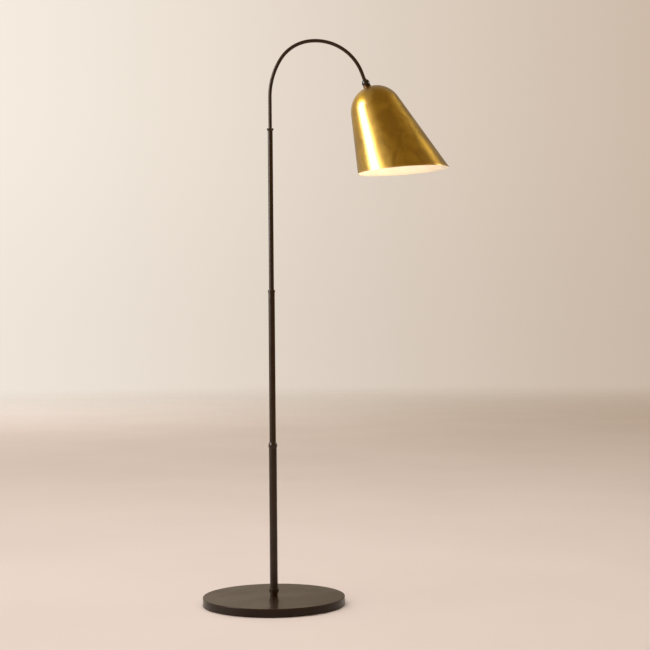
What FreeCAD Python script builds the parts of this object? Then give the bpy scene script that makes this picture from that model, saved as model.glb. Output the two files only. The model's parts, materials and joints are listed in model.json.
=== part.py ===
import FreeCAD, Part
import math
import os
from enum import IntEnum

import Sketcher

# A bridge floor lamp: round weighted base, three pole tubes that step down in diameter, a thin arched
# arm, a ball swivel at its end and a spun brass bell shade with its lamp holder and bulb.
#
# The floor is Z = 0 and the pole stands on the Z axis. +X points from the pole towards the shade.
# Two more frames share the centre of the swivel ball: the head frame, whose own Z runs on along the
# arm's end into the shade, and the tip frame, whose own Z runs back up the arm.

# Every size, in millimetres or degrees.
SIZES = {
    "cutter_margin": 1,
    # Base
    "base_radius": 200,
    "base_height": 24,
    "base_edge_radius": 1.4,
    "cover_wall": 1.5,
    "pad_inset": 6,
    "pad_height": 2,
    "plate_thickness": 1.2,
    "plate_clearance": 0.3,
    "weight_inset": 55,
    "weight_height": 13.5,
    "nut_recess_radius": 18,
    "nut_recess_depth": 8,
    "channel_width": 11,
    "channel_height": 7,
    # Lead inlet at the back of the base
    "inlet_height": 11,
    "inlet_bore_radius": 3.4,
    "grommet_neck_radius": 5,
    "grommet_flange_radius": 6.8,
    "grommet_flange": 1.5,
    "grommet_inner_flange": 2.5,
    "grommet_wall_gap": 0.2,
    # Fits and threads
    "slip_clearance": 0.05,
    "running_clearance": 0.05,
    "large_thread_radius": 5,
    "large_thread_bore": 3.2,
    "small_thread_radius": 4,
    "small_thread_bore": 2.6,
    # Foot of the pole
    "foot_washer_radius": 15,
    "foot_washer_thickness": 2,
    "foot_nut_across_flats": 17,
    "foot_nut_thickness": 5,
    "rod_below_nut": 1.5,
    "neck_radius": 10.6,
    "neck_height": 10,
    "foot_collar_radius": 13.4,
    "foot_collar_height": 12,
    "foot_collar_chamfer": 0.8,
    # Pole tubes
    "lower_radius": 11,
    "lower_wall": 1.5,
    "lower_length": 406,
    "middle_radius": 9,
    "middle_wall": 1.5,
    "middle_length": 439,
    "upper_radius": 7,
    "upper_wall": 1.2,
    "upper_length": 455,
    "insert_length": 30,
    "nipple_reach": 25,
    # Collars where the tubes change size
    "lower_collar_radius": 12.4,
    "lower_collar_flare": 5.5,
    "lower_collar_band": 4.5,
    "lower_collar_taper": 6.5,
    "lower_collar_lip": 0.7,
    "middle_collar_radius": 9.9,
    "middle_collar_height": 7,
    "middle_collar_chamfer": 0.6,
    "top_collar_radius": 10,
    "top_collar_flare": 5.2,
    "top_collar_edge": 1.6,
    "top_collar_crown": 1.2,
    "top_collar_lip": 1.2,
    # Arm
    "arm_radius": 5,
    "arm_wall": 0.8,
    "arm_straight": 95.5,
    "lead_radius": 200,
    "lead_turn": 32.1,
    "shoulder_radius": 110,
    "shoulder_turn": 49.9,
    "crown_radius": 140.4,
    "crown_turn": 77.25,
    "tip_run": 32,
    # Swivel
    "ball_radius": 11.1,
    "tube_to_ball": 0.8,
    "turn_gap": 0.3,
    "half_gap": 0.3,
    "port_radius": 5.5,
    "port_inner": 6.2,
    "notch_depth": 5.8,
    "hub_radius": 3.6,
    "bush_length": 12,
    "stem_radius": 3,
    "stem_bore": 1.9,
    "stem_washer_thickness": 0.8,
    "stem_nut_thickness": 3,
    "stem_nut_gap": 0.2,
    "stem_end": 0.5,
    "screw_radius": 2,
    "screw_reach": 7,
    "screw_hole_end": 0.5,
    "screw_head_radius": 3.4,
    "screw_head_height": 2.2,
    "screw_slot_width": 0.9,
    "screw_slot_depth": 1,
    "spring_washer_radius": 3.2,
    "spring_washer_thickness": 0.5,
    "head_pocket_floor": 7.3,
    "head_pocket_gap": 0.4,
    # Neck cap
    "cap_rim_height": 6.5,
    "cap_rim_radius": 10.2,
    "cap_foot_radius": 11.2,
    "cap_floor": 1.2,
    "cap_ball_gap": 0.5,
    "cap_recess_gap": 0.1,
    # Shade
    "shade_wall": 0.8,
    "seat_radius": 12,
    "dome_radius": 73,
    "dome_centre": 85.2,
    "shade_half_angle": 14.55,
    "rim_distance": 266,
    "rim_slope": 17,
    "shade_hole_gap": 0.3,
    # Parts on the shade's nipple
    "nipple_start": 0.6,
    "nipple_end": 15,
    "inner_washer_radius": 11,
    "inner_washer_thickness": 1.2,
    "shade_nut_across_flats": 13,
    "shade_nut_thickness": 4,
    # Lamp holder
    "holder_cap_top_radius": 11,
    "holder_cap_radius": 16.5,
    "holder_cap_shoulder": 5.5,
    "holder_cap_length": 20,
    "holder_cap_wall": 0.8,
    "holder_hub_radius": 7.5,
    "holder_hub_length": 8,
    "holder_shell_wall": 0.7,
    "holder_shell_start": 12,
    "holder_shell_length": 41,
    "core_start": 13,
    "core_floor": 12,
    "core_wall": 0.8,
    "core_hole": 2,
    "core_end": 1.5,
    "screw_shell_radius": 13.7,
    "screw_shell_wall": 0.4,
    "screw_shell_length": 26,
    "contact_radius": 4.5,
    "contact_edge": 0.6,
    "contact_height": 1.6,
    "contact_nose": 2.5,
    # Bulb
    "bulb_cap_radius": 13,
    "bulb_tip_radius": 4.5,
    "bulb_tip_height": 1.5,
    "bulb_glass_cone": 3,
    "bulb_cap_length": 26,
    "housing_radius": 13.6,
    "housing_length": 24,
    "globe_radius": 30,
    "globe_wall": 1.2,
    "globe_mouth_radius": 24,
}

doc = FreeCAD.newDocument("bridge_floor_lamp")
sheet = doc.addObject("Spreadsheet::Sheet", "Sizes")
for row, (alias, number) in enumerate(SIZES.items(), start=1):
    sheet.set(f"A{row}", alias)
    sheet.set(f"B{row}", str(number))
    sheet.setAlias(f"B{row}", alias)
doc.recompute()

PARTS = []


# Expressions -----------------------------------------------------------------------------------


def size(alias):
    """The expression for one cell of the sheet."""
    return f"Sizes.{alias}"


def add(*terms):
    return "(" + " + ".join(terms) + ")"


def less(first, *others):
    return "(" + " - ".join((first,) + others) + ")"


def number_of(expression):
    """What an expression comes to, as a plain number."""
    result = sheet.evalExpression(expression)
    return float(getattr(result, "Value", result))


def bind(feature, **expressions):
    """Bind properties of a feature to expressions."""
    for name, expression in expressions.items():
        feature.setExpression(name, expression)


# Frames ----------------------------------------------------------------------------------------

TURN_1 = size("lead_turn")
TURN_2 = add(size("lead_turn"), size("shoulder_turn"))
TURN_3 = add(size("lead_turn"), size("shoulder_turn"), size("crown_turn"))

FOOT_TOP = add(size("base_height"), size("neck_height"))
JOINT_1 = add(FOOT_TOP, size("lower_length"))
JOINT_2 = add(JOINT_1, size("middle_length"))
JOINT_3 = add(JOINT_2, size("upper_length"))
ARM_BEND = add(JOINT_3, size("arm_straight"))

BALL_X = add(
    f"{size('lead_radius')} * (1 - cos({TURN_1}))",
    f"{size('shoulder_radius')} * (cos({TURN_1}) - cos({TURN_2}))",
    f"{size('crown_radius')} * (cos({TURN_2}) - cos({TURN_3}))",
    f"{size('tip_run')} * sin({TURN_3})",
)
BALL_Z = add(
    ARM_BEND,
    f"{size('lead_radius')} * sin({TURN_1})",
    f"{size('shoulder_radius')} * (sin({TURN_2}) - sin({TURN_1}))",
    f"{size('crown_radius')} * (sin({TURN_3}) - sin({TURN_2}))",
    f"{size('tip_run')} * cos({TURN_3})",
)
FULL_TURN = 360
HALF_TURN = 180
QUARTER_TURN = 90

WORLD_X = FreeCAD.Vector(1, 0, 0)
WORLD_Y = FreeCAD.Vector(0, 1, 0)
WORLD_Z = FreeCAD.Vector(0, 0, 1)


def place_at_ball(feature, turn):
    """Move a feature modelled about the origin to the ball's centre, turned about Y."""
    rotation = FreeCAD.Rotation(WORLD_Y, number_of(turn))
    feature.Placement = FreeCAD.Placement(FreeCAD.Vector(), rotation)
    feature.setExpression("Placement.Base.x", BALL_X)
    feature.setExpression("Placement.Base.z", BALL_Z)
    feature.setExpression("Placement.Rotation.Angle", turn)


def in_head_frame(feature):
    place_at_ball(feature, TURN_3)
    return feature


def in_tip_frame(feature):
    place_at_ball(feature, less(TURN_3, str(HALF_TURN)))
    return feature


def keep(feature, label):
    """Take a finished feature as the sub-part called label."""
    feature.Label = label
    PARTS.append(feature)
    return feature


# Sketches and bodies ---------------------------------------------------------------------------


# The sketcher counts the points of an edge from 1, in this order.
Point = IntEnum("Point", "START END CENTRE")


class Fixed(IntEnum):
    """The sketcher's codes for its own origin and upright axis."""

    ORIGIN = -1
    V_AXIS = -2


def origin_plane(body, role):
    return next(f for f in body.Origin.OriginFeatures if f.Role == role)


def new_body(name):
    return doc.addObject("PartDesign::Body", name + "_body")


def new_sketch(body, name, role):
    sketch = body.newObject("Sketcher::SketchObject", name)
    sketch.AttachmentSupport = [(origin_plane(body, role), "")]
    sketch.MapMode = "FlatFace"
    return sketch


def fix_vertex(sketch, edge, vertex, across, up):
    """Hold a vertex at two distances from the sketch's origin, or on its axis where one is 0."""
    origin = (Fixed.ORIGIN, Point.START)
    if across == "0":
        sketch.addConstraint(Sketcher.Constraint("PointOnObject", edge, vertex, Fixed.V_AXIS))
    else:
        distance = Sketcher.Constraint("DistanceX", *origin, edge, vertex, number_of(across))
        index = sketch.addConstraint(distance)
        sketch.setExpression(f"Constraints[{index}]", across)
    if up == "0":
        sketch.addConstraint(Sketcher.Constraint("PointOnObject", edge, vertex, Fixed.ORIGIN))
    else:
        distance = Sketcher.Constraint("DistanceY", *origin, edge, vertex, number_of(up))
        index = sketch.addConstraint(distance)
        sketch.setExpression(f"Constraints[{index}]", up)


def measure(sketch, kind, edge, expression):
    """Set an edge's length ("Distance") or radius ("Radius")."""
    index = sketch.addConstraint(Sketcher.Constraint(kind, edge, number_of(expression)))
    sketch.setExpression(f"Constraints[{index}]", expression)


def polygon(body, name, role, corners):
    """A closed outline of straight edges through corners, each a pair of expressions."""
    sketch = new_sketch(body, name, role)
    points = [FreeCAD.Vector(number_of(across), number_of(up), 0) for across, up in corners]
    count = len(points)
    for i in range(count):
        sketch.addGeometry(Part.LineSegment(points[i], points[(i + 1) % count]))
    for i in range(count):
        sketch.addConstraint(Sketcher.Constraint("Coincident", i, Point.END, (i + 1) % count, Point.START))
    for i, (across, up) in enumerate(corners):
        fix_vertex(sketch, i, Point.START, across, up)
    return sketch


def circle_sketch(body, name, role, radius, across="0", up="0"):
    sketch = new_sketch(body, name, role)
    centre = FreeCAD.Vector(number_of(across), number_of(up), 0)
    sketch.addGeometry(Part.Circle(centre, WORLD_Z, number_of(radius)))
    fix_vertex(sketch, 0, Point.CENTRE, across, up)
    measure(sketch, "Radius", 0, radius)
    return sketch


def revolve(body, sketch):
    """Turn a profile fully round the body's own Z axis."""
    solid = body.newObject("PartDesign::Revolution", sketch.Name + "_turn")
    solid.Profile = sketch
    solid.ReferenceAxis = (sketch, ["V_Axis"])
    solid.Angle = FULL_TURN
    sketch.Visibility = False
    doc.recompute()
    return solid


def turned(name, corners):
    """A turned part from the corners (radius, height) of its half section."""
    body = new_body(name)
    revolve(body, polygon(body, name + "_section", "XZ_Plane", corners))
    return keep(body, name)


def ring(name, inner, outer, bottom, top):
    corners = [(inner, bottom), (outer, bottom), (outer, top), (inner, top)]
    return turned(name, corners)


def disc(name, outer, bottom, top):
    return turned(name, [("0", bottom), (outer, bottom), (outer, top), ("0", top)])


def circle_edges(shape, radius, height):
    """Names of the circular edges of a given radius and height about the Z axis."""
    NEAR = 1e-4
    names = []
    for i, edge in enumerate(shape.Edges, start=1):
        is_circle = isinstance(edge.Curve, Part.Circle)
        if is_circle and abs(edge.Curve.Radius - radius) < NEAR and abs(edge.Curve.Center.z - height) < NEAR:
            names.append(f"Edge{i}")
    return names


def pocket(body, sketch, reverse=False, both_ways=False):
    """Cut a sketch right through the body, on one side of its plane or on both."""
    THROUGH_ALL = 1
    before = body.Shape.Volume
    cut_feature = body.newObject("PartDesign::Pocket", sketch.Name + "_cut")
    cut_feature.Profile = sketch
    cut_feature.Type = THROUGH_ALL
    cut_feature.Reversed = reverse
    cut_feature.Midplane = both_ways
    sketch.Visibility = False
    doc.recompute()
    if not body.Shape.Volume < before:
        raise RuntimeError(f"{sketch.Name} cuts nothing")
    return cut_feature


def round_edges(body, name, edges, radius):
    feature = body.newObject("PartDesign::Fillet", name)
    feature.Base = (feature.BaseFeature, edges)
    bind(feature, Radius=radius)
    doc.recompute()


# Primitives ------------------------------------------------------------------------------------


def cylinder(name, radius, bottom, top):
    feature = doc.addObject("Part::Cylinder", name)
    bind(feature, Radius=radius, Height=less(top, bottom))
    feature.setExpression("Placement.Base.z", bottom)
    return feature


def cylinder_along_y(name, radius, start, end):
    feature = doc.addObject("Part::Cylinder", name)
    lie_down = FreeCAD.Rotation(WORLD_X, -QUARTER_TURN)
    feature.Placement = FreeCAD.Placement(FreeCAD.Vector(), lie_down)
    bind(feature, Radius=radius, Height=less(end, start))
    feature.setExpression("Placement.Base.y", start)
    return feature


def sphere(name, radius, height="0"):
    feature = doc.addObject("Part::Sphere", name)
    bind(feature, Radius=radius)
    feature.setExpression("Placement.Base.z", height)
    return feature


def box(name, low, high):
    """A box between two corners, each given as three expressions."""
    feature = doc.addObject("Part::Box", name)
    sides = [less(end, start) for start, end in zip(low, high)]
    bind(feature, Length=sides[0], Width=sides[1], Height=sides[2])
    for axis, start in zip("xyz", low):
        feature.setExpression(f"Placement.Base.{axis}", start)
    return feature


def cut(name, base, *tools):
    """Base less every tool, one after another."""
    result = base
    for i, tool in enumerate(tools, start=1):
        step = doc.addObject("Part::Cut", f"{name}_cut_{i}")
        step.Base = result
        step.Tool = tool
        result = step
    return result


def fuse(name, *solids):
    feature = doc.addObject("Part::MultiFuse", name + "_fuse")
    feature.Shapes = list(solids)
    return feature


def common(name, *solids):
    feature = doc.addObject("Part::MultiCommon", name + "_common")
    feature.Shapes = list(solids)
    return feature


def negative(expression):
    return f"(-1 * {expression})"


def hex_nut(name, across_flats, bore, bottom, top):
    """A six-sided nut about the Z axis, its bore a plain cylinder."""
    SIDES = 6
    prism = doc.addObject("Part::Prism", name + "_hexagon")
    prism.Polygon = SIDES
    circumradius = f"({across_flats} / (2 * cos({HALF_TURN / SIDES})))"
    bind(prism, Circumradius=circumradius, Height=less(top, bottom))
    prism.setExpression("Placement.Base.z", bottom)
    hole = cylinder(name + "_hole", bore, bottom, top)
    return keep(cut(name, prism, hole), name)


# Shared heights and radii ----------------------------------------------------------------------


def slips_in(radius):
    return less(radius, size("slip_clearance"))


def slips_over(radius):
    return add(radius, size("slip_clearance"))


COVER_UNDERSIDE = less(size("base_height"), size("cover_wall"))
COVER_INSIDE = less(size("base_radius"), size("cover_wall"))
WEIGHT_BOTTOM = less(COVER_UNDERSIDE, size("weight_height"))
RECESS_TOP = add(WEIGHT_BOTTOM, size("nut_recess_depth"))
FOOT_NUT_TOP = less(RECESS_TOP, size("foot_washer_thickness"))
FOOT_NUT_BOTTOM = less(FOOT_NUT_TOP, size("foot_nut_thickness"))
PLATE_TOP = add(size("pad_height"), size("plate_thickness"))
LARGE_TAPPED = slips_over(size("large_thread_radius"))
SMALL_TAPPED = slips_over(size("small_thread_radius"))
LOWER_INSIDE = less(size("lower_radius"), size("lower_wall"))
MIDDLE_INSIDE = less(size("middle_radius"), size("middle_wall"))
UPPER_INSIDE = less(size("upper_radius"), size("upper_wall"))
ARM_INSIDE = less(size("arm_radius"), size("arm_wall"))


# Base ------------------------------------------------------------------------------------------


def base_cover():
    """Pressed steel cover: flat top, straight skirt, holes for the foot rod and the lead inlet."""
    body = new_body("base_cover")
    corners = [
        (LARGE_TAPPED, size("base_height")),
        (size("base_radius"), size("base_height")),
        (size("base_radius"), size("pad_height")),
        (COVER_INSIDE, size("pad_height")),
        (COVER_INSIDE, COVER_UNDERSIDE),
        (LARGE_TAPPED, COVER_UNDERSIDE),
    ]
    shell = revolve(body, polygon(body, "cover_section", "XZ_Plane", corners))
    rim = circle_edges(shell.Shape, number_of(size("base_radius")), number_of(size("base_height")))
    round_edges(body, "cover_edge", rim, size("base_edge_radius"))
    hole_radius = slips_over(size("grommet_neck_radius"))
    inlet = circle_sketch(body, "inlet", "XZ_Plane", hole_radius, up=size("inlet_height"))
    pocket(body, inlet)
    keep(body, "base_cover")


def base_weight():
    """Cast iron disc with a recess for the foot nut and a channel for the lead to the back."""
    body = new_body("base_weight")
    weight_radius = less(size("base_radius"), size("weight_inset"))
    corners = [
        (LARGE_TAPPED, COVER_UNDERSIDE),
        (weight_radius, COVER_UNDERSIDE),
        (weight_radius, WEIGHT_BOTTOM),
        (size("nut_recess_radius"), WEIGHT_BOTTOM),
        (size("nut_recess_radius"), RECESS_TOP),
        (LARGE_TAPPED, RECESS_TOP),
    ]
    revolve(body, polygon(body, "weight_section", "XZ_Plane", corners))
    half_width = f"({size('channel_width')} / 2)"
    channel_top = add(WEIGHT_BOTTOM, size("channel_height"))
    corners = [
        (negative(half_width), WEIGHT_BOTTOM),
        (half_width, WEIGHT_BOTTOM),
        (half_width, channel_top),
        (negative(half_width), channel_top),
    ]
    pocket(body, polygon(body, "lead_channel", "XZ_Plane", corners))
    keep(body, "base_weight")


def inlet_grommet():
    """Rubber grommet in the skirt. Its own Z axis points out of the base, along +Y."""
    inner_lip = less(COVER_INSIDE, size("grommet_wall_gap"))
    inner_face = less(inner_lip, size("grommet_inner_flange"))
    outer_face = add(size("base_radius"), size("grommet_flange"))
    corners = [
        (size("inlet_bore_radius"), inner_face),
        (size("grommet_flange_radius"), inner_face),
        (size("grommet_flange_radius"), inner_lip),
        (size("grommet_neck_radius"), inner_lip),
        (size("grommet_neck_radius"), size("base_radius")),
        (size("grommet_flange_radius"), size("base_radius")),
        (size("grommet_flange_radius"), outer_face),
        (size("inlet_bore_radius"), outer_face),
    ]
    grommet = turned("inlet_grommet", corners)
    lie_down = FreeCAD.Rotation(WORLD_X, -QUARTER_TURN)
    grommet.Placement = FreeCAD.Placement(FreeCAD.Vector(), lie_down)
    grommet.setExpression("Placement.Base.z", size("inlet_height"))


def base():
    base_cover()
    base_weight()
    inlet_grommet()
    plate_radius = less(COVER_INSIDE, size("plate_clearance"))
    disc("base_plate", plate_radius, size("pad_height"), PLATE_TOP)
    pad_radius = less(size("base_radius"), size("pad_inset"))
    disc("base_pad", pad_radius, "0", size("pad_height"))


# Pole ------------------------------------------------------------------------------------------


def foot():
    """Rod, washer and nut that clamp the weight, and the neck and collar the pole stands on."""
    rod_bottom = less(FOOT_NUT_BOTTOM, size("rod_below_nut"))
    rod_top = add(FOOT_TOP, size("nipple_reach"))
    thread = size("large_thread_radius")
    ring("foot_rod", size("large_thread_bore"), thread, rod_bottom, rod_top)
    ring("foot_washer", LARGE_TAPPED, size("foot_washer_radius"), FOOT_NUT_TOP, RECESS_TOP)
    across_flats = size("foot_nut_across_flats")
    hex_nut("foot_nut", across_flats, LARGE_TAPPED, FOOT_NUT_BOTTOM, FOOT_NUT_TOP)
    spigot = slips_in(LOWER_INSIDE)
    spigot_top = add(FOOT_TOP, size("insert_length"))
    corners = [
        (LARGE_TAPPED, size("base_height")),
        (size("neck_radius"), size("base_height")),
        (size("neck_radius"), FOOT_TOP),
        (spigot, FOOT_TOP),
        (spigot, spigot_top),
        (LARGE_TAPPED, spigot_top),
    ]
    turned("foot_neck", corners)
    inside = slips_over(size("lower_radius"))
    outside = size("foot_collar_radius")
    bevelled = less(outside, size("foot_collar_chamfer"))
    collar_top = add(FOOT_TOP, size("foot_collar_height"))
    corners = [
        (inside, FOOT_TOP),
        (bevelled, FOOT_TOP),
        (outside, add(FOOT_TOP, size("foot_collar_chamfer"))),
        (outside, less(collar_top, size("foot_collar_chamfer"))),
        (bevelled, collar_top),
        (inside, collar_top),
    ]
    turned("foot_collar", corners)


def joint_inserts(joint, lower_name, upper_name, lower_inside, upper_inside, tapped):
    """Tapped inserts in the two tube ends that meet at a joint."""
    below = less(joint, size("insert_length"))
    above = add(joint, size("insert_length"))
    ring(lower_name, tapped, slips_in(lower_inside), below, joint)
    ring(upper_name, tapped, slips_in(upper_inside), joint, above)


def nipple(name, radius, bore, joint):
    below = less(joint, size("nipple_reach"))
    above = add(joint, size("nipple_reach"))
    ring(name, bore, radius, below, above)


def pole():
    ring("lower_tube", LOWER_INSIDE, size("lower_radius"), FOOT_TOP, JOINT_1)
    ring("middle_tube", MIDDLE_INSIDE, size("middle_radius"), JOINT_1, JOINT_2)
    ring("upper_tube", UPPER_INSIDE, size("upper_radius"), JOINT_2, JOINT_3)
    joint_inserts(
        JOINT_1, "lower_tube_insert", "middle_tube_foot_insert", LOWER_INSIDE, MIDDLE_INSIDE, LARGE_TAPPED
    )
    nipple("lower_nipple", size("large_thread_radius"), size("large_thread_bore"), JOINT_1)
    joint_inserts(
        JOINT_2, "middle_tube_insert", "upper_tube_foot_insert", MIDDLE_INSIDE, UPPER_INSIDE, SMALL_TAPPED
    )
    nipple("middle_nipple", size("small_thread_radius"), size("small_thread_bore"), JOINT_2)
    below = less(JOINT_3, size("insert_length"))
    ring("upper_tube_insert", SMALL_TAPPED, slips_in(UPPER_INSIDE), below, JOINT_3)


def collars():
    """The three visible rings where the tubes step down."""
    inside = slips_over(size("middle_radius"))
    flare_top = add(JOINT_1, size("lower_collar_flare"))
    band_top = add(flare_top, size("lower_collar_band"))
    taper_top = add(band_top, size("lower_collar_taper"))
    corners = [
        (inside, JOINT_1),
        (size("lower_radius"), JOINT_1),
        (size("lower_collar_radius"), flare_top),
        (size("lower_collar_radius"), band_top),
        (add(inside, size("lower_collar_lip")), taper_top),
        (inside, taper_top),
    ]
    turned("lower_collar", corners)
    inside = slips_over(size("upper_radius"))
    ring_top = add(JOINT_2, size("middle_collar_height"))
    corners = [
        (inside, JOINT_2),
        (size("middle_collar_radius"), JOINT_2),
        (size("middle_collar_radius"), less(ring_top, size("middle_collar_chamfer"))),
        (less(size("middle_collar_radius"), size("middle_collar_chamfer")), ring_top),
        (inside, ring_top),
    ]
    turned("middle_collar", corners)
    inside = slips_over(size("arm_radius"))
    flare_top = add(JOINT_3, size("top_collar_flare"))
    edge_top = add(flare_top, size("top_collar_edge"))
    crown_top = add(edge_top, size("top_collar_crown"))
    corners = [
        (inside, JOINT_3),
        (size("upper_radius"), JOINT_3),
        (size("top_collar_radius"), flare_top),
        (size("top_collar_radius"), edge_top),
        (add(inside, size("top_collar_lip")), crown_top),
        (inside, crown_top),
    ]
    turned("top_collar", corners)


# Arm -------------------------------------------------------------------------------------------

TUBE_END = add(size("ball_radius"), size("tube_to_ball"))


def arm_path(body):
    """The arm's centre line: up, round three arcs to the right, and a short straight tip."""
    sketch = new_sketch(body, "arm_path", "XZ_Plane")
    start = FreeCAD.Vector(0, number_of(JOINT_3), 0)
    point = FreeCAD.Vector(0, number_of(ARM_BEND), 0)
    sketch.addGeometry(Part.LineSegment(start, point))
    turned_so_far = 0.0
    for arc_name in ("lead", "shoulder", "crown"):
        radius = number_of(size(arc_name + "_radius"))
        turn = math.radians(number_of(size(arc_name + "_turn")))
        across = FreeCAD.Vector(math.cos(turned_so_far), -math.sin(turned_so_far), 0)
        centre = point + across * radius
        first_angle = math.pi - turned_so_far - turn
        last_angle = math.pi - turned_so_far
        circle = Part.Circle(centre, WORLD_Z, radius)
        sketch.addGeometry(Part.ArcOfCircle(circle, first_angle, last_angle))
        turned_so_far += turn
        point = centre - FreeCAD.Vector(math.cos(turned_so_far), -math.sin(turned_so_far), 0) * radius
    tip_length = less(size("tip_run"), TUBE_END)
    heading = FreeCAD.Vector(math.sin(turned_so_far), math.cos(turned_so_far), 0)
    sketch.addGeometry(Part.LineSegment(point, point + heading * number_of(tip_length)))
    # Each arc runs against its sketch direction, so its end meets the edge before it.
    STRAIGHT, LEAD, SHOULDER, CROWN, TIP = range(5)
    fix_vertex(sketch, STRAIGHT, Point.START, "0", JOINT_3)
    sketch.addConstraint(Sketcher.Constraint("Vertical", STRAIGHT))
    sketch.addConstraint(Sketcher.Constraint("Tangent", STRAIGHT, Point.END, LEAD, Point.END))
    sketch.addConstraint(Sketcher.Constraint("Tangent", LEAD, Point.START, SHOULDER, Point.END))
    sketch.addConstraint(Sketcher.Constraint("Tangent", SHOULDER, Point.START, CROWN, Point.END))
    sketch.addConstraint(Sketcher.Constraint("Tangent", CROWN, Point.START, TIP, Point.START))
    measure(sketch, "Distance", STRAIGHT, size("arm_straight"))
    for edge, arc_name in ((LEAD, "lead"), (SHOULDER, "shoulder"), (CROWN, "crown")):
        measure(sketch, "Radius", edge, size(arc_name + "_radius"))
        turn = size(arc_name + "_turn")
        swept = Sketcher.Constraint("Angle", edge, math.radians(number_of(turn)))
        index = sketch.addConstraint(swept)
        sketch.setExpression(f"Constraints[{index}]", f"{turn} * 1 deg")
    measure(sketch, "Distance", TIP, tip_length)
    return sketch


def pipe(body, kind, name, path, radius):
    """Sweep a circle along the arm's path, to add or to cut away."""
    section = circle_sketch(body, name + "_section", "XY_Plane", radius)
    section.setExpression("AttachmentOffset.Base.z", JOINT_3)
    doc.recompute()
    feature = body.newObject(f"PartDesign::{kind}", name)
    feature.Profile = section
    feature.Spine = (path, [])
    section.Visibility = False
    doc.recompute()
    return feature


def arm():
    body = new_body("arm_tube")
    path = arm_path(body)
    doc.recompute()
    pipe(body, "AdditivePipe", "arm_outside", path, size("arm_radius"))
    pipe(body, "SubtractivePipe", "arm_bore", path, ARM_INSIDE)
    keep(body, "arm_tube")
    stud_bottom = less(JOINT_3, size("nipple_reach"))
    stud_top = add(JOINT_3, size("nipple_reach"))
    corners = [
        (size("small_thread_bore"), stud_bottom),
        (size("small_thread_radius"), stud_bottom),
        (size("small_thread_radius"), JOINT_3),
        (slips_in(ARM_INSIDE), JOINT_3),
        (slips_in(ARM_INSIDE), stud_top),
        (size("small_thread_bore"), stud_top),
    ]
    turned("arm_stud", corners)


# Swivel ----------------------------------------------------------------------------------------

BUSH_TOP = add(TUBE_END, size("bush_length"))
STEM_WASHER_TOP = add(BUSH_TOP, size("stem_washer_thickness"))
STEM_NUT_TOP = add(STEM_WASHER_TOP, size("stem_nut_thickness"))
STEM_TOP = add(STEM_NUT_TOP, size("stem_end"))
STEM_BORE_FIT = add(size("stem_radius"), size("running_clearance"))
SEAT_HEIGHT = less(
    size("dome_centre"),
    f"sqrt({size('dome_radius')} ^ 2 - {size('seat_radius')} ^ 2)",
)
CAP_FLOOR_TOP = less(SEAT_HEIGHT, size("cap_floor"))


def half_ball(name, side, port_end):
    """Half of the swivel ball. Its port points along the frame's Z and crosses to the other half.

    side is -1 for the half on the -Y side of the split and +1 for the other. Beyond the port's side
    of the hinge, a notch as deep as the port is wide leaves only the hub, so that the other half's
    port can tilt past.
    """
    reach = add(size("ball_radius"), size("cutter_margin"))
    face = size("half_gap")
    notch = size("notch_depth")
    if side < 0:
        outer_y, inner_y, notch_y = negative(reach), negative(face), negative(notch)
        slab_y, layer_y = (outer_y, inner_y), (notch_y, inner_y)
    else:
        slab_y, layer_y = (face, reach), (face, notch)
    ball = sphere(name + "_ball", size("ball_radius"))
    slab_low = (negative(reach), slab_y[0], negative(reach))
    slab = box(name + "_slab", slab_low, (reach, slab_y[1], reach))
    half = common(name + "_half", ball, slab)
    layer_low = (negative(reach), layer_y[0], negative(reach))
    layer = box(name + "_layer", layer_low, (reach, layer_y[1], "0"))
    hub = cylinder_along_y(name + "_hub", size("hub_radius"), layer_y[0], layer_y[1])
    notched = cut(name + "_notch", half, cut(name + "_relief", layer, hub))
    port = cylinder(name + "_port", size("port_radius"), size("port_inner"), port_end)
    return fuse(name, notched, port)


def swivel_upper():
    """The half on the arm: its port carries the stem that turns in the arm's bush."""
    name = "swivel_upper"
    port_end = less(TUBE_END, size("turn_gap"))
    half = half_ball(name, -1, port_end)
    stem = cylinder(name + "_stem", size("stem_radius"), port_end, STEM_TOP)
    with_stem = fuse(name + "_stemmed", half, stem)
    bore = cylinder(name + "_bore", size("stem_bore"), size("port_inner"), STEM_TOP)
    hole_end = negative(add(size("screw_reach"), size("screw_hole_end")))
    tapped = add(size("screw_radius"), size("slip_clearance"))
    hole = cylinder_along_y(name + "_screw_hole", tapped, hole_end, "0")
    keep(in_tip_frame(cut(name, with_stem, bore, hole)), name)


def swivel_lower():
    """The half on the shade: bored to turn on the hinge screw, with a pocket for the screw's head."""
    name = "swivel_lower"
    half = half_ball(name, 1, CAP_FLOOR_TOP)
    bore = cylinder(name + "_bore", SMALL_TAPPED, size("port_inner"), CAP_FLOOR_TOP)
    hinge_bore = add(size("screw_radius"), size("running_clearance"))
    hole = cylinder_along_y(name + "_screw_hole", hinge_bore, "0", size("ball_radius"))
    head_room = add(size("screw_head_radius"), size("head_pocket_gap"))
    floor = size("head_pocket_floor")
    head_pocket = cylinder_along_y(name + "_pocket", head_room, floor, size("ball_radius"))
    keep(in_head_frame(cut(name, half, bore, hole, head_pocket)), name)


def ring_along_y(name, inner, outer, start, end):
    hole = cylinder_along_y(name + "_hole", inner, start, end)
    solid = cylinder_along_y(name + "_disc", outer, start, end)
    return keep(in_tip_frame(cut(name, solid, hole)), name)


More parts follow.
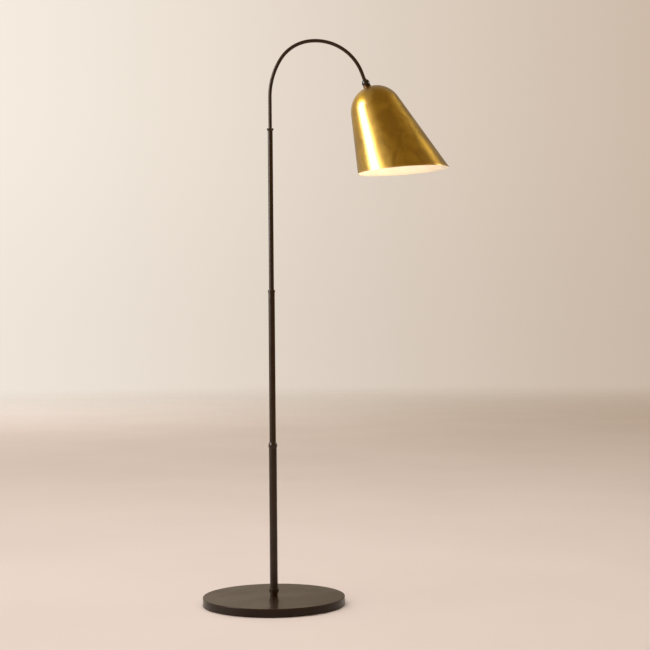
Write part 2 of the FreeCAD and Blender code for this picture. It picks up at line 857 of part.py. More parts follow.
def swivel_fasteners():
    """The slotted hinge screw and its two washers."""
    name = "swivel_screw"
    head_seat = add(size("head_pocket_floor"), size("spring_washer_thickness"))
    head_end = add(head_seat, size("screw_head_height"))
    reach = negative(size("screw_reach"))
    shank = cylinder_along_y(name + "_shank", size("screw_radius"), reach, head_seat)
    head = cylinder_along_y(name + "_head", size("screw_head_radius"), head_seat, head_end)
    half_slot = f"({size('screw_slot_width')} / 2)"
    slot_floor = less(head_end, size("screw_slot_depth"))
    low = (negative(size("screw_head_radius")), slot_floor, negative(half_slot))
    slot = box(name + "_slot", low, (size("screw_head_radius"), head_end, half_slot))
    keep(in_tip_frame(cut(name, fuse(name, shank, head), slot)), name)
    hole = add(size("screw_radius"), size("slip_clearance"))
    floor = size("head_pocket_floor")
    ring_along_y("spring_washer", hole, size("spring_washer_radius"), floor, head_seat)
    low_face = negative(size("half_gap"))
    ring_along_y("friction_washer", hole, size("hub_radius"), low_face, size("half_gap"))


def swivel():
    in_tip_frame(ring("arm_tip_bush", STEM_BORE_FIT, slips_in(ARM_INSIDE), TUBE_END, BUSH_TOP))
    swivel_upper()
    swivel_lower()
    swivel_fasteners()
    ring_outside = less(ARM_INSIDE, size("stem_nut_gap"))
    threaded = slips_over(size("stem_radius"))
    in_tip_frame(ring("stem_washer", threaded, ring_outside, BUSH_TOP, STEM_WASHER_TOP))
    in_tip_frame(ring("stem_nut", threaded, ring_outside, STEM_WASHER_TOP, STEM_NUT_TOP))


# Shade -----------------------------------------------------------------------------------------

SHADE_INSIDE_TOP = add(SEAT_HEIGHT, size("shade_wall"))
WASHER_END = add(SHADE_INSIDE_TOP, size("inner_washer_thickness"))
SHADE_NUT_END = add(WASHER_END, size("shade_nut_thickness"))
NIPPLE_HOLE = add(size("small_thread_radius"), size("shade_hole_gap"))


def neck_cap():
    """Brass cup whose hollow is concentric with the ball, so that the ball's upper half clears it."""
    name = "neck_cap"
    cone = doc.addObject("Part::Cone", name + "_outside")
    bind(cone, Radius1=size("cap_rim_radius"), Radius2=size("cap_foot_radius"))
    bind(cone, Height=less(SEAT_HEIGHT, size("cap_rim_height")))
    cone.setExpression("Placement.Base.z", size("cap_rim_height"))
    hollow = sphere(name + "_hollow", add(size("ball_radius"), size("cap_ball_gap")))
    recess_radius = add(size("port_radius"), size("cap_recess_gap"))
    recess = cylinder(name + "_recess", recess_radius, "0", CAP_FLOOR_TOP)
    hole = cylinder(name + "_hole", NIPPLE_HOLE, "0", SEAT_HEIGHT)
    keep(in_head_frame(cut(name, cone, hollow, recess, hole)), name)


def shade_outline(body, end_height):
    """The shade's outer half section: a small flat seat, a round dome and a straight cone."""
    sketch = new_sketch(body, "shade_section", "XZ_Plane")
    seat_z = number_of(SEAT_HEIGHT)
    seat_r = number_of(size("seat_radius"))
    dome_r = number_of(size("dome_radius"))
    centre_z = number_of(size("dome_centre"))
    slope = math.radians(number_of(size("shade_half_angle")))
    end_z = number_of(end_height)
    centre = FreeCAD.Vector(0, centre_z, 0)
    tangent_point = centre + FreeCAD.Vector(math.cos(slope), -math.sin(slope), 0) * dome_r
    end_r = tangent_point.x + (end_z - tangent_point.y) * math.tan(slope)
    top = FreeCAD.Vector(0, seat_z, 0)
    seat_edge = FreeCAD.Vector(seat_r, seat_z, 0)
    rim = FreeCAD.Vector(end_r, end_z, 0)
    foot = FreeCAD.Vector(0, end_z, 0)
    start_angle = math.atan2(seat_z - centre_z, seat_r)
    dome = Part.ArcOfCircle(Part.Circle(centre, WORLD_Z, dome_r), start_angle, -slope)
    SEAT, DOME, CONE, MOUTH, AXIS = range(5)
    sketch.addGeometry(Part.LineSegment(top, seat_edge))
    sketch.addGeometry(dome)
    sketch.addGeometry(Part.LineSegment(tangent_point, rim))
    sketch.addGeometry(Part.LineSegment(rim, foot))
    sketch.addGeometry(Part.LineSegment(foot, top))
    sketch.addConstraint(Sketcher.Constraint("Coincident", SEAT, Point.END, DOME, Point.START))
    sketch.addConstraint(Sketcher.Constraint("Tangent", DOME, Point.END, CONE, Point.START))
    sketch.addConstraint(Sketcher.Constraint("Coincident", CONE, Point.END, MOUTH, Point.START))
    sketch.addConstraint(Sketcher.Constraint("Coincident", MOUTH, Point.END, AXIS, Point.START))
    sketch.addConstraint(Sketcher.Constraint("Coincident", AXIS, Point.END, SEAT, Point.START))
    sketch.addConstraint(Sketcher.Constraint("Horizontal", SEAT))
    sketch.addConstraint(Sketcher.Constraint("Horizontal", MOUTH))
    fix_vertex(sketch, DOME, Point.CENTRE, "0", size("dome_centre"))
    sketch.addConstraint(Sketcher.Constraint("PointOnObject", SEAT, Point.START, Fixed.V_AXIS))
    sketch.addConstraint(Sketcher.Constraint("PointOnObject", MOUTH, Point.END, Fixed.V_AXIS))
    origin = (Fixed.ORIGIN, Point.START)
    half_angle = f"-1 * {size('shade_half_angle')} * 1 deg"
    measures = [
        (Sketcher.Constraint("Radius", DOME, dome_r), size("dome_radius")),
        (Sketcher.Constraint("DistanceX", *origin, SEAT, Point.END, seat_r), size("seat_radius")),
        (Sketcher.Constraint("DistanceY", *origin, MOUTH, Point.START, end_z), end_height),
        (Sketcher.Constraint("Angle", Fixed.V_AXIS, Point.START, CONE, Point.START, -slope), half_angle),
    ]
    for constraint, expression in measures:
        index = sketch.addConstraint(constraint)
        sketch.setExpression(f"Constraints[{index}]", expression)
    return sketch


def shade():
    """Spun brass bell, cut off along a plane that slopes across its axis."""
    body = new_body("shade")
    # The cone is drawn on past the rim and cut back, leaving its long side away from the pole.
    across = size("rim_distance")
    rise = f"({across} * tan({size('rim_slope')}))"
    uncut_length = add(size("rim_distance"), rise)
    revolve(body, shade_outline(body, uncut_length))
    trim_top = add(uncut_length, size("cutter_margin"))
    corners = [
        (negative(across), uncut_length),
        (across, less(size("rim_distance"), rise)),
        (across, trim_top),
        (negative(across), trim_top),
    ]
    rim_cut = pocket(body, polygon(body, "rim_trim", "XZ_Plane", corners), both_ways=True)
    faces = body.Shape.Faces
    mouth = max(range(len(faces)), key=lambda i: faces[i].CenterOfMass.z)
    wall = body.newObject("PartDesign::Thickness", "shade_wall")
    wall.Base = (rim_cut, [f"Face{mouth + 1}"])
    wall.Reversed = True
    bind(wall, Value=size("shade_wall"))
    doc.recompute()
    pocket(body, circle_sketch(body, "nipple_hole", "XY_Plane", NIPPLE_HOLE), reverse=True)
    keep(in_head_frame(body), "shade")


def shade_fixings():
    """The nipple that joins ball, cap, shade and lamp holder, with its washer and lock nut."""
    start = add(size("port_inner"), size("nipple_start"))
    end = add(SHADE_INSIDE_TOP, size("nipple_end"))
    thread = size("small_thread_radius")
    in_head_frame(ring("shade_nipple", size("small_thread_bore"), thread, start, end))
    washer_radius = size("inner_washer_radius")
    in_head_frame(ring("shade_washer", NIPPLE_HOLE, washer_radius, SHADE_INSIDE_TOP, WASHER_END))
    flats = size("shade_nut_across_flats")
    in_head_frame(hex_nut("shade_nut", flats, SMALL_TAPPED, WASHER_END, SHADE_NUT_END))


# Lamp holder and bulb --------------------------------------------------------------------------

HOLDER_TOP = SHADE_NUT_END
HOLDER_CAP_INSIDE = less(size("holder_cap_radius"), size("holder_cap_wall"))
SHELL_OUTSIDE = less(HOLDER_CAP_INSIDE, size("slip_clearance"))
SHELL_INSIDE = less(SHELL_OUTSIDE, size("holder_shell_wall"))
SHELL_START = add(HOLDER_TOP, size("holder_shell_start"))
SHELL_END = add(SHELL_START, size("holder_shell_length"))
CORE_FLOOR = add(HOLDER_TOP, size("core_start"), size("core_floor"))
CONTACT_TOP = add(CORE_FLOOR, size("contact_height"))
BULB_CAP_END = add(CONTACT_TOP, size("bulb_cap_length"))
HOUSING_END = add(BULB_CAP_END, size("housing_length"))
GLOBE_CENTRE = add(
    HOUSING_END,
    f"sqrt({size('globe_radius')} ^ 2 - {size('globe_mouth_radius')} ^ 2)",
)


def lamp_holder():
    """Threaded cap, metal shell, insulating core, screw shell and centre contact."""
    wall = size("holder_cap_wall")
    shoulder = add(HOLDER_TOP, size("holder_cap_shoulder"))
    cap_end = add(HOLDER_TOP, size("holder_cap_length"))
    hub_end = add(HOLDER_TOP, size("holder_hub_length"))
    corners = [
        (SMALL_TAPPED, HOLDER_TOP),
        (size("holder_cap_top_radius"), HOLDER_TOP),
        (size("holder_cap_radius"), shoulder),
        (size("holder_cap_radius"), cap_end),
        (HOLDER_CAP_INSIDE, cap_end),
        (HOLDER_CAP_INSIDE, add(shoulder, wall)),
        (less(size("holder_cap_top_radius"), wall), add(HOLDER_TOP, wall)),
        (size("holder_hub_radius"), add(HOLDER_TOP, wall)),
        (size("holder_hub_radius"), hub_end),
        (SMALL_TAPPED, hub_end),
    ]
    in_head_frame(turned("holder_cap", corners))
    in_head_frame(ring("holder_shell", SHELL_INSIDE, SHELL_OUTSIDE, SHELL_START, SHELL_END))
    core_outside = slips_in(SHELL_INSIDE)
    core_inside = less(core_outside, size("core_wall"))
    core_top = add(HOLDER_TOP, size("core_start"))
    core_end = less(SHELL_END, size("core_end"))
    corners = [
        (size("core_hole"), core_top),
        (core_outside, core_top),
        (core_outside, core_end),
        (core_inside, core_end),
        (core_inside, CORE_FLOOR),
        (size("core_hole"), CORE_FLOOR),
    ]
    in_head_frame(turned("holder_core", corners))
    screw_inside = less(size("screw_shell_radius"), size("screw_shell_wall"))
    screw_end = add(CORE_FLOOR, size("screw_shell_length"))
    in_head_frame(ring("screw_shell", screw_inside, size("screw_shell_radius"), CORE_FLOOR, screw_end))
    corners = [
        ("0", CORE_FLOOR),
        (size("contact_radius"), CORE_FLOOR),
        (size("contact_radius"), add(CORE_FLOOR, size("contact_edge"))),
        (size("contact_nose"), CONTACT_TOP),
        ("0", CONTACT_TOP),
    ]
    in_head_frame(turned("centre_contact", corners))


def bulb():
    """Screw cap, tapered housing and hollow opal globe."""
    tip_end = add(CONTACT_TOP, size("bulb_tip_height"))
    cone_end = add(tip_end, size("bulb_glass_cone"))
    corners = [
        ("0", CONTACT_TOP),
        (size("bulb_tip_radius"), CONTACT_TOP),
        (size("bulb_tip_radius"), tip_end),
        (size("bulb_cap_radius"), cone_end),
        (size("bulb_cap_radius"), BULB_CAP_END),
        ("0", BULB_CAP_END),
    ]
    in_head_frame(turned("bulb_cap", corners))
    corners = [
        ("0", BULB_CAP_END),
        (size("housing_radius"), BULB_CAP_END),
        (size("globe_mouth_radius"), HOUSING_END),
        ("0", HOUSING_END),
    ]
    in_head_frame(turned("bulb_housing", corners))
    name = "bulb_globe"
    outside = sphere(name + "_outside", size("globe_radius"), GLOBE_CENTRE)
    inside_radius = less(size("globe_radius"), size("globe_wall"))
    inside = sphere(name + "_inside", inside_radius, GLOBE_CENTRE)
    reach = size("globe_radius")
    low = (negative(reach), negative(reach), less(GLOBE_CENTRE, reach))
    below_mouth = box(name + "_mouth", low, (reach, reach, HOUSING_END))
    keep(in_head_frame(cut(name, outside, inside, below_mouth)), name)


# Building and writing --------------------------------------------------------------------------


def check_document():
    """Stop on any failed object or any sub-part without one valid solid."""
    for feature in doc.Objects:
        if "Invalid" in feature.State or "Error" in feature.State:
            raise RuntimeError(f"{feature.Name} failed: {feature.State}")
    for part in PARTS:
        if part.Shape.isNull() or not part.Shape.isValid():
            raise RuntimeError(f"{part.Label} has no valid shape")
        if len(part.Shape.Solids) != 1:
            raise RuntimeError(f"{part.Label} has {len(part.Shape.Solids)} solids")


def write_parts():
    os.makedirs("parts", exist_ok=True)
    for part in PARTS:
        part.Shape.exportStep(os.path.join("parts", part.Label + ".step"))


base()
foot()
pole()
collars()
arm()
swivel()
neck_cap()
shade()
shade_fixings()
lamp_holder()
bulb()
doc.recompute()
check_document()
write_parts()
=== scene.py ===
import json
import math

import bmesh
import bpy
from mathutils import Matrix, Vector


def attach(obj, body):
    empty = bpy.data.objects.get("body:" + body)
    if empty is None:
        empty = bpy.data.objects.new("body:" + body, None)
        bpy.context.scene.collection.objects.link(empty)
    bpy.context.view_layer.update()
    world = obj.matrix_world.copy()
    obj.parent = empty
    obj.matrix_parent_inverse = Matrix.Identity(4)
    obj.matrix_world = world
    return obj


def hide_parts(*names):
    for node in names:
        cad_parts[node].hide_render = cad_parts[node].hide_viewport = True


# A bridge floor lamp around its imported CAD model. Profiles are in millimetres, in the same frames
# as the CAD: the pole's frame, the head frame (its Z runs from the ball into the shade) and the
# tip frame (its Z runs from the ball back up the arm).

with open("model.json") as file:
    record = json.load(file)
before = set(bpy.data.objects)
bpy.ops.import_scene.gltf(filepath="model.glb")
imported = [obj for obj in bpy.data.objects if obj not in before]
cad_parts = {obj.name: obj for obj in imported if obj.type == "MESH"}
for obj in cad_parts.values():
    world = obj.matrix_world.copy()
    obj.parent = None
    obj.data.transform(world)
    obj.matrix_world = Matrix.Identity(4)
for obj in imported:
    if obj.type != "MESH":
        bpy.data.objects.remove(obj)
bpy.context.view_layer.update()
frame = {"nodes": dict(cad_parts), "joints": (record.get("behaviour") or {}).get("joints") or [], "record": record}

MM = 0.001

# Sizes that several pieces share, in millimetres. FIT is the gap round a piece in its bore.
FIT = 0.05
BASE_RADIUS = 200
BASE_TOP = 24
ROD_HOLE = 5 + FIT
LOWER_RADIUS, LOWER_BORE = 11, 9.5
MIDDLE_RADIUS, MIDDLE_BORE = 9, 7.5
UPPER_RADIUS, UPPER_BORE = 7, 5.8
ARM_RADIUS, ARM_BORE = 5, 4.2
NECK_TOP = BASE_TOP + 10
LOWER_TOP = NECK_TOP + 406
MIDDLE_TOP = LOWER_TOP + 439
UPPER_TOP = MIDDLE_TOP + 455
BALL_RADIUS = 11.1
TUBE_TO_BALL = 0.8
PORT_RADIUS = 5.5
DOME_RADIUS, DOME_CENTRE = 73, 85.2
SEAT_RADIUS = 12
SEAT = DOME_CENTRE - math.sqrt(DOME_RADIUS ** 2 - SEAT_RADIUS ** 2)
SHADE_WALL = 0.8
SHADE_HOLE = 4.3

# The arm's arcs: radius, degrees turned and mesh steps.
ARM_ARCS = ((200, 32.1, 28), (110, 49.9, 44), (140.4, 77.25, 68))

BALL = Vector(frame["joints"][0]["pos_m"])
HEAD_TURN = math.radians(sum(degrees for _, degrees, _ in ARM_ARCS))
INLET_HEIGHT = 11

ALONG_Y = Matrix.Rotation(-math.pi / 2, 4, "X")
POLE_FRAME = Matrix.Identity(4)
HEAD_FRAME = Matrix.Translation(BALL) @ Matrix.Rotation(HEAD_TURN, 4, "Y")
TIP_FRAME = Matrix.Translation(BALL) @ Matrix.Rotation(HEAD_TURN - math.pi, 4, "Y")
INLET_FRAME = Matrix.Translation((0, 0, INLET_HEIGHT * MM)) @ ALONG_Y


# Meshes ----------------------------------------------------------------------------------------

SHARP_ANGLE = math.radians(40)


def rounded(corners, steps=5, closed=True):
    """An outline (radius, height, wear) through corners (radius, height, fillet).

    Wear is 1 on the fillets and 0 on the flats between them, and a guard point beside each
    fillet keeps it there.
    """
    GUARD_REACHES, GUARD_SHARE = 3, 0.4
    outline = []
    count = len(corners)

    def add_guard(corner, side, reach):
        guard = min(GUARD_REACHES * reach, GUARD_SHARE * side.length)
        if guard > reach:
            outline.append((*(corner + side.normalized() * guard), 0.0))

    for i, (radius, height, fillet) in enumerate(corners):
        here = Vector((radius, height))
        if fillet == 0 or (not closed and i in (0, count - 1)):
            outline.append((radius, height, 0.0))
            continue
        to_last = Vector(corners[i - 1][:2]) - here
        to_next = Vector(corners[(i + 1) % count][:2]) - here
        half = to_last.angle(to_next) / 2
        reach = fillet / math.tan(half)
        bisector = (to_last.normalized() + to_next.normalized()).normalized()
        centre = here + bisector * (fillet / math.sin(half))
        first = here + to_last.normalized() * reach - centre
        last = here + to_next.normalized() * reach - centre
        sweep = first.angle(last)
        add_guard(here, to_last, reach)
        for step in range(steps + 1):
            t = step / steps
            spoke = (first * math.sin((1 - t) * sweep) + last * math.sin(t * sweep)) / math.sin(sweep)
            outline.append((*(centre + spoke), 1.0))
        add_guard(here, to_next, reach)
    return outline


def skin(name, rows, wears, closed, matrix=POLE_FRAME):
    """A mesh over rings of points in millimetres, each ring closed round, placed by matrix.

    Its UV map has the distance along the profile, in metres, as U and the turn round it as V.
    """
    MERGE, SLIVER = 1e-7, 1e-8
    mesh_data = bpy.data.meshes.new(name)
    bm = bmesh.new()
    uv = bm.loops.layers.uv.new("along_and_round")
    wear = bm.verts.layers.float.new("wear")
    columns = len(rows[0])
    rings = []
    along = [0.0]
    for i, row in enumerate(rows):
        ring = [bm.verts.new(Vector(point) * MM) for point in row]
        for vertex in ring:
            vertex[wear] = wears[i]
        rings.append(ring)
        if i:
            along.append(along[-1] + (ring[0].co - rings[i - 1][0].co).length)
    if closed:
        rings.append(rings[0])
        along.append(along[-1] + (rings[0][0].co - rings[-2][0].co).length)
    for i in range(len(rings) - 1):
        for j in range(columns):
            k = (j + 1) % columns
            face = bm.faces.new((rings[i][j], rings[i][k], rings[i + 1][k], rings[i + 1][j]))
            turns = (j, j + 1, j + 1, j)
            for loop, row, turn in zip(face.loops, (i, i, i + 1, i + 1), turns):
                loop[uv].uv = (along[row], turn / columns)
    bmesh.ops.remove_doubles(bm, verts=bm.verts, dist=MERGE)
    bmesh.ops.dissolve_degenerate(bm, edges=bm.edges, dist=SLIVER)
    bmesh.ops.recalc_face_normals(bm, faces=bm.faces)
    for face in bm.faces:
        face.smooth = True
    bm.to_mesh(mesh_data)
    bm.free()
    mesh_data.set_sharp_from_angle(angle=SHARP_ANGLE)
    return placed(name, mesh_data, matrix)


def placed(name, data, matrix=POLE_FRAME):
    """A new object in the scene."""
    thing = bpy.data.objects.new(name, data)
    bpy.context.scene.collection.objects.link(thing)
    thing.matrix_world = matrix
    return thing


def circle(radius, height, segments):
    turns = [math.tau * j / segments for j in range(segments)]
    return [(radius * math.cos(turn), radius * math.sin(turn), height) for turn in turns]


def lathe(name, outline, matrix=POLE_FRAME, segments=96, closed=True):
    """A turned piece from an outline of (radius, height, wear)."""
    rows = [circle(radius, height, segments) for radius, height, _ in outline]
    return skin(name, rows, [wear for _, _, wear in outline], closed, matrix)


def apply_modifiers(thing):
    graph = bpy.context.evaluated_depsgraph_get()
    made = bpy.data.meshes.new_from_object(thing.evaluated_get(graph))
    thing.modifiers.clear()
    thing.data = made


def carve(thing, operation, tool):
    """Cut a tool from a mesh ("DIFFERENCE") or join it to it ("UNION"), and drop the tool."""
    step = thing.modifiers.new(tool.name, "BOOLEAN")
    step.operation = operation
    step.solver = "EXACT"
    step.object = tool
    bpy.context.view_layer.update()
    apply_modifiers(thing)
    bpy.data.objects.remove(tool)
    return thing


def soften(thing, width, degrees=35, segments=3):
    """Round a mesh's edges that are sharper than an angle by width, in millimetres."""
    bevel = thing.modifiers.new("soften", "BEVEL")
    bevel.width = width * MM
    bevel.segments = segments
    bevel.limit_method = "ANGLE"
    bevel.angle_limit = math.radians(degrees)
    bevel.miter_outer = "MITER_ARC"
    bevel.harden_normals = False
    apply_modifiers(thing)
    for face in thing.data.polygons:
        face.use_smooth = True
    thing.data.set_sharp_from_angle(angle=math.radians(degrees))
    return thing


def block(name, low, high, matrix=POLE_FRAME):
    """A cutting block between two corners, in millimetres."""
    mesh_data = bpy.data.meshes.new(name)
    bm = bmesh.new()
    bmesh.ops.create_cube(bm, size=1)
    middle = (Vector(low) + Vector(high)) / 2
    spans = Vector(high) - Vector(low)
    for vertex in bm.verts:
        vertex.co = Vector(a * b + c for a, b, c in zip(vertex.co, spans, middle)) * MM
    bm.to_mesh(mesh_data)
    bm.free()
    return placed(name, mesh_data, matrix)


def rod(name, radius, start, end, matrix=POLE_FRAME, segments=64):
    """A solid rod along the frame's Z, for cutting and joining."""
    outline = [(0, start, 0), (radius, start, 0), (radius, end, 0), (0, end, 0)]
    return lathe(name, outline, matrix, segments, closed=False)


# Materials -------------------------------------------------------------------------------------


class Nodes:
    """An emptied node tree and short ways to add to it."""

    def __init__(self, tree):
        self.tree = tree
        tree.nodes.clear()

    def add(self, kind):
        return self.tree.nodes.new("ShaderNode" + kind)

    def link(self, output, target):
        self.tree.links.new(output, target)

    def put(self, target, value):
        """Link an output to an input, or set the input to a number or colour."""
        if isinstance(value, bpy.types.NodeSocket):
            self.link(value, target)
        else:
            target.default_value = value

    def spread(self, value, low, high, start=0.3, end=0.7):
        """Map start..end to low..high, with smooth ends."""
        node = self.add("MapRange")
        node.interpolation_type = "SMOOTHSTEP"
        self.link(value, node.inputs["Value"])
        for name, number in (("From Min", start), ("From Max", end), ("To Min", low), ("To Max", high)):
            node.inputs[name].default_value = number
        return node.outputs["Result"]

    def math(self, operation, first, second):
        node = self.add("Math")
        node.operation = operation
        self.put(node.inputs[0], first)
        self.put(node.inputs[1], second)
        return node.outputs["Value"]

    def mix(self, factor, first, second):
        """Mix two colours."""
        FACTOR, FIRST, SECOND, RESULT = 0, 6, 7, 2
        node = self.add("Mix")
        node.data_type = "RGBA"
        self.put(node.inputs[FACTOR], factor)
        self.put(node.inputs[FIRST], first)
        self.put(node.inputs[SECOND], second)
        return node.outputs[RESULT]


class Finish(Nodes):
    """A material with one shader and the patterns that it is made from."""

    def __init__(self, name):
        self.material = bpy.data.materials.new(name)
        self.material.use_nodes = True
        super().__init__(self.material.node_tree)
        self.shader = self.add("BsdfPrincipled")
        self.output = self.add("OutputMaterial")
        self.link(self.shader.outputs["BSDF"], self.output.inputs["Surface"])
        self.object_coords = self.add("TexCoord").outputs["Object"]

    def set(self, **inputs):
        for name, value in inputs.items():
            self.put(self.shader.inputs[name.replace("_", " ").title().replace("Ior", "IOR")], value)

    def scaled(self, *scale):
        """Object coordinates scaled per axis, to stretch a pattern."""
        mapping = self.add("Mapping")
        mapping.inputs["Scale"].default_value = scale
        self.link(self.object_coords, mapping.inputs["Vector"])
        return mapping.outputs["Vector"]

    def noise(self, scale=1.0, detail=2.0, roughness=0.5, coords=None, distortion=0.0):
        texture = self.add("TexNoise")
        texture.inputs["Scale"].default_value = scale
        texture.inputs["Detail"].default_value = detail
        texture.inputs["Roughness"].default_value = roughness
        texture.inputs["Distortion"].default_value = distortion
        self.link(coords or self.object_coords, texture.inputs["Vector"])
        return texture.outputs["Fac"]

    def worn(self, amount):
        """How far the wear of the mesh shows, up to an amount."""
        node = self.add("Attribute")
        node.attribute_name = "wear"
        return self.math("MULTIPLY", node.outputs["Fac"], amount)

    def bump(self, height, distance, normal=None):
        """Raise the surface by height times distance, in millimetres."""
        node = self.add("Bump")
        node.inputs["Distance"].default_value = distance * MM
        self.link(height, node.inputs["Height"])
        if normal:
            self.link(normal, node.inputs["Normal"])
        return node.outputs["Normal"]


def colour(red, green, blue):
    return (red, green, blue, 1.0)


def bronze_paint(name, dark, light, rubbed, gloss, peel, specular=0.3, coat=0.0):
    """Baked dark bronze: slightly cloudy tone, fine orange peel and rubbed edges.

    Gloss is the roughness's range, and peel is the height of the orange peel in millimetres.
    """
    finish = Finish(name)
    clouds = finish.noise(16, detail=4, roughness=0.55)
    grain = finish.noise(2600, detail=2, roughness=0.6)
    smudges = finish.noise(9, detail=3, roughness=0.5)
    patches = finish.noise(180, detail=3, roughness=0.6)
    orange_peel = finish.noise(520, detail=2, roughness=0.5)
    tone = finish.mix(finish.spread(clouds, 0, 1), dark, light)
    tone = finish.mix(finish.spread(grain, 0, 0.35, start=0.55, end=0.75), tone, light)
    edges = finish.worn(finish.spread(patches, 0.1, 0.4, start=0.35, end=0.7))
    tone = finish.mix(edges, tone, rubbed)
    haze = finish.math("ADD", finish.spread(smudges, *gloss), finish.spread(grain, -0.02, 0.03))
    relief = finish.bump(grain, peel / 4, normal=finish.bump(orange_peel, peel))
    finish.set(base_color=tone, roughness=haze, normal=relief, specular_ior_level=specular)
    finish.set(coat_weight=coat, coat_roughness=0.12, coat_ior=1.35)
    return finish.material


def brushed_brass(name):
    """Spun and brushed round its axis, with cloudy toning under a clear lacquer."""
    DEEP, GOLD = colour(0.43, 0.255, 0.005), colour(0.66, 0.425, 0.036)
    AMBER, SCRATCH, RUBBED = colour(0.52, 0.30, 0.018), colour(0.36, 0.20, 0.008), colour(0.80, 0.56, 0.20)
    finish = Finish(name)
    lines = finish.noise(detail=3, roughness=0.7, coords=finish.scaled(18, 18, 2600))
    coarse = finish.noise(detail=2, roughness=0.6, coords=finish.scaled(7, 7, 620))
    clouds = finish.noise(detail=4, roughness=0.6, coords=finish.scaled(26, 26, 16), distortion=0.8)
    drift = finish.noise(7, detail=3, roughness=0.5)
    tone = finish.mix(finish.spread(clouds, 0, 1, start=0.32, end=0.68), DEEP, GOLD)
    tone = finish.mix(finish.spread(drift, 0, 0.5), tone, AMBER)
    tone = finish.mix(finish.spread(lines, 0, 0.22), tone, SCRATCH)
    tone = finish.mix(finish.worn(0.5), tone, RUBBED)
    gloss = finish.math("ADD", finish.spread(clouds, 0.30, 0.39), finish.spread(lines, -0.035, 0.05))
    brushed = finish.bump(coarse, 0.02, normal=finish.bump(lines, 0.012))
    tangent = finish.add("Tangent")
    tangent.direction_type = "UV_MAP"
    tangent.uv_map = "along_and_round"
    finish.set(base_color=tone, metallic=1.0, roughness=gloss, normal=brushed, anisotropic=0.55)
    finish.set(tangent=tangent.outputs["Tangent"], coat_weight=1.0, coat_roughness=0.24, coat_ior=1.9)
    return finish.material


def turned_metal(name, tone_a, tone_b, gloss, metallic=1.0, spot_scale=120, rubbed=None):
    """Plain, plated or toned metal with fine turning marks and dull spots."""
    finish = Finish(name)
    marks = finish.noise(detail=2, roughness=0.6, coords=finish.scaled(60, 60, 3200))
    spots = finish.noise(spot_scale, detail=4, roughness=0.6)
    tone = finish.mix(finish.spread(spots, 0, 1), tone_a, tone_b)
    if rubbed:
        tone = finish.mix(finish.worn(0.6), tone, rubbed)
    finish.set(base_color=tone, metallic=metallic, roughness=finish.spread(spots, *gloss))
    finish.set(normal=finish.bump(marks, 0.012))
    return finish.material


def enamel(name, tone_a, tone_b, gloss):
    """Sprayed lacquer with faint unevenness."""
    finish = Finish(name)
    tone = finish.mix(finish.spread(finish.noise(40, detail=4, roughness=0.55), 0, 1), tone_a, tone_b)
    haze = finish.spread(finish.noise(90, detail=3), *gloss)
    finish.set(base_color=tone, roughness=haze, normal=finish.bump(finish.noise(600), 0.02))
    return finish.material


def cast(name, tone_a, tone_b, gloss):
    """Raw sand casting."""
    finish = Finish(name)
    grit = finish.noise(900, detail=4, roughness=0.7)
    tone = finish.mix(finish.spread(grit, 0, 1), tone_a, tone_b)
    finish.set(base_color=tone, metallic=0.6, roughness=finish.spread(grit, *gloss))
    finish.set(normal=finish.bump(grit, 0.3))
    return finish.material


def rubber(name, black, dusty, gloss):
    """Matt rubber with dust in patches."""
    finish = Finish(name)
    grain = finish.noise(1400, detail=3, roughness=0.6)
    dust = finish.spread(finish.noise(60, detail=5, roughness=0.65), 0, 0.3, start=0.45, end=0.75)
    finish.set(base_color=finish.mix(dust, black, dusty), roughness=finish.spread(grain, *gloss))
    finish.set(normal=finish.bump(grain, 0.05))
    return finish.material


def moulded(name, tone_a, tone_b, gloss):
    """Moulded plastic or ceramic."""
    finish = Finish(name)
    grain = finish.noise(1800)
    tone = finish.mix(finish.spread(finish.noise(70, detail=4, roughness=0.6), 0, 1), tone_a, tone_b)
    finish.set(base_color=tone, roughness=finish.spread(grain, *gloss), normal=finish.bump(grain, 0.01))
    return finish.material


def lit_glass(name, tone_a, tone_b, glow_a, glow_b, strength):
    """Opal globe of a lit bulb, faintly uneven."""
    finish = Finish(name)
    veil = finish.noise(30, detail=3)
    finish.set(base_color=finish.mix(veil, tone_a, tone_b), roughness=0.25)
    finish.set(emission_color=finish.mix(finish.spread(veil, 0, 1), glow_a, glow_b))
    finish.set(emission_strength=strength)
    return finish.material


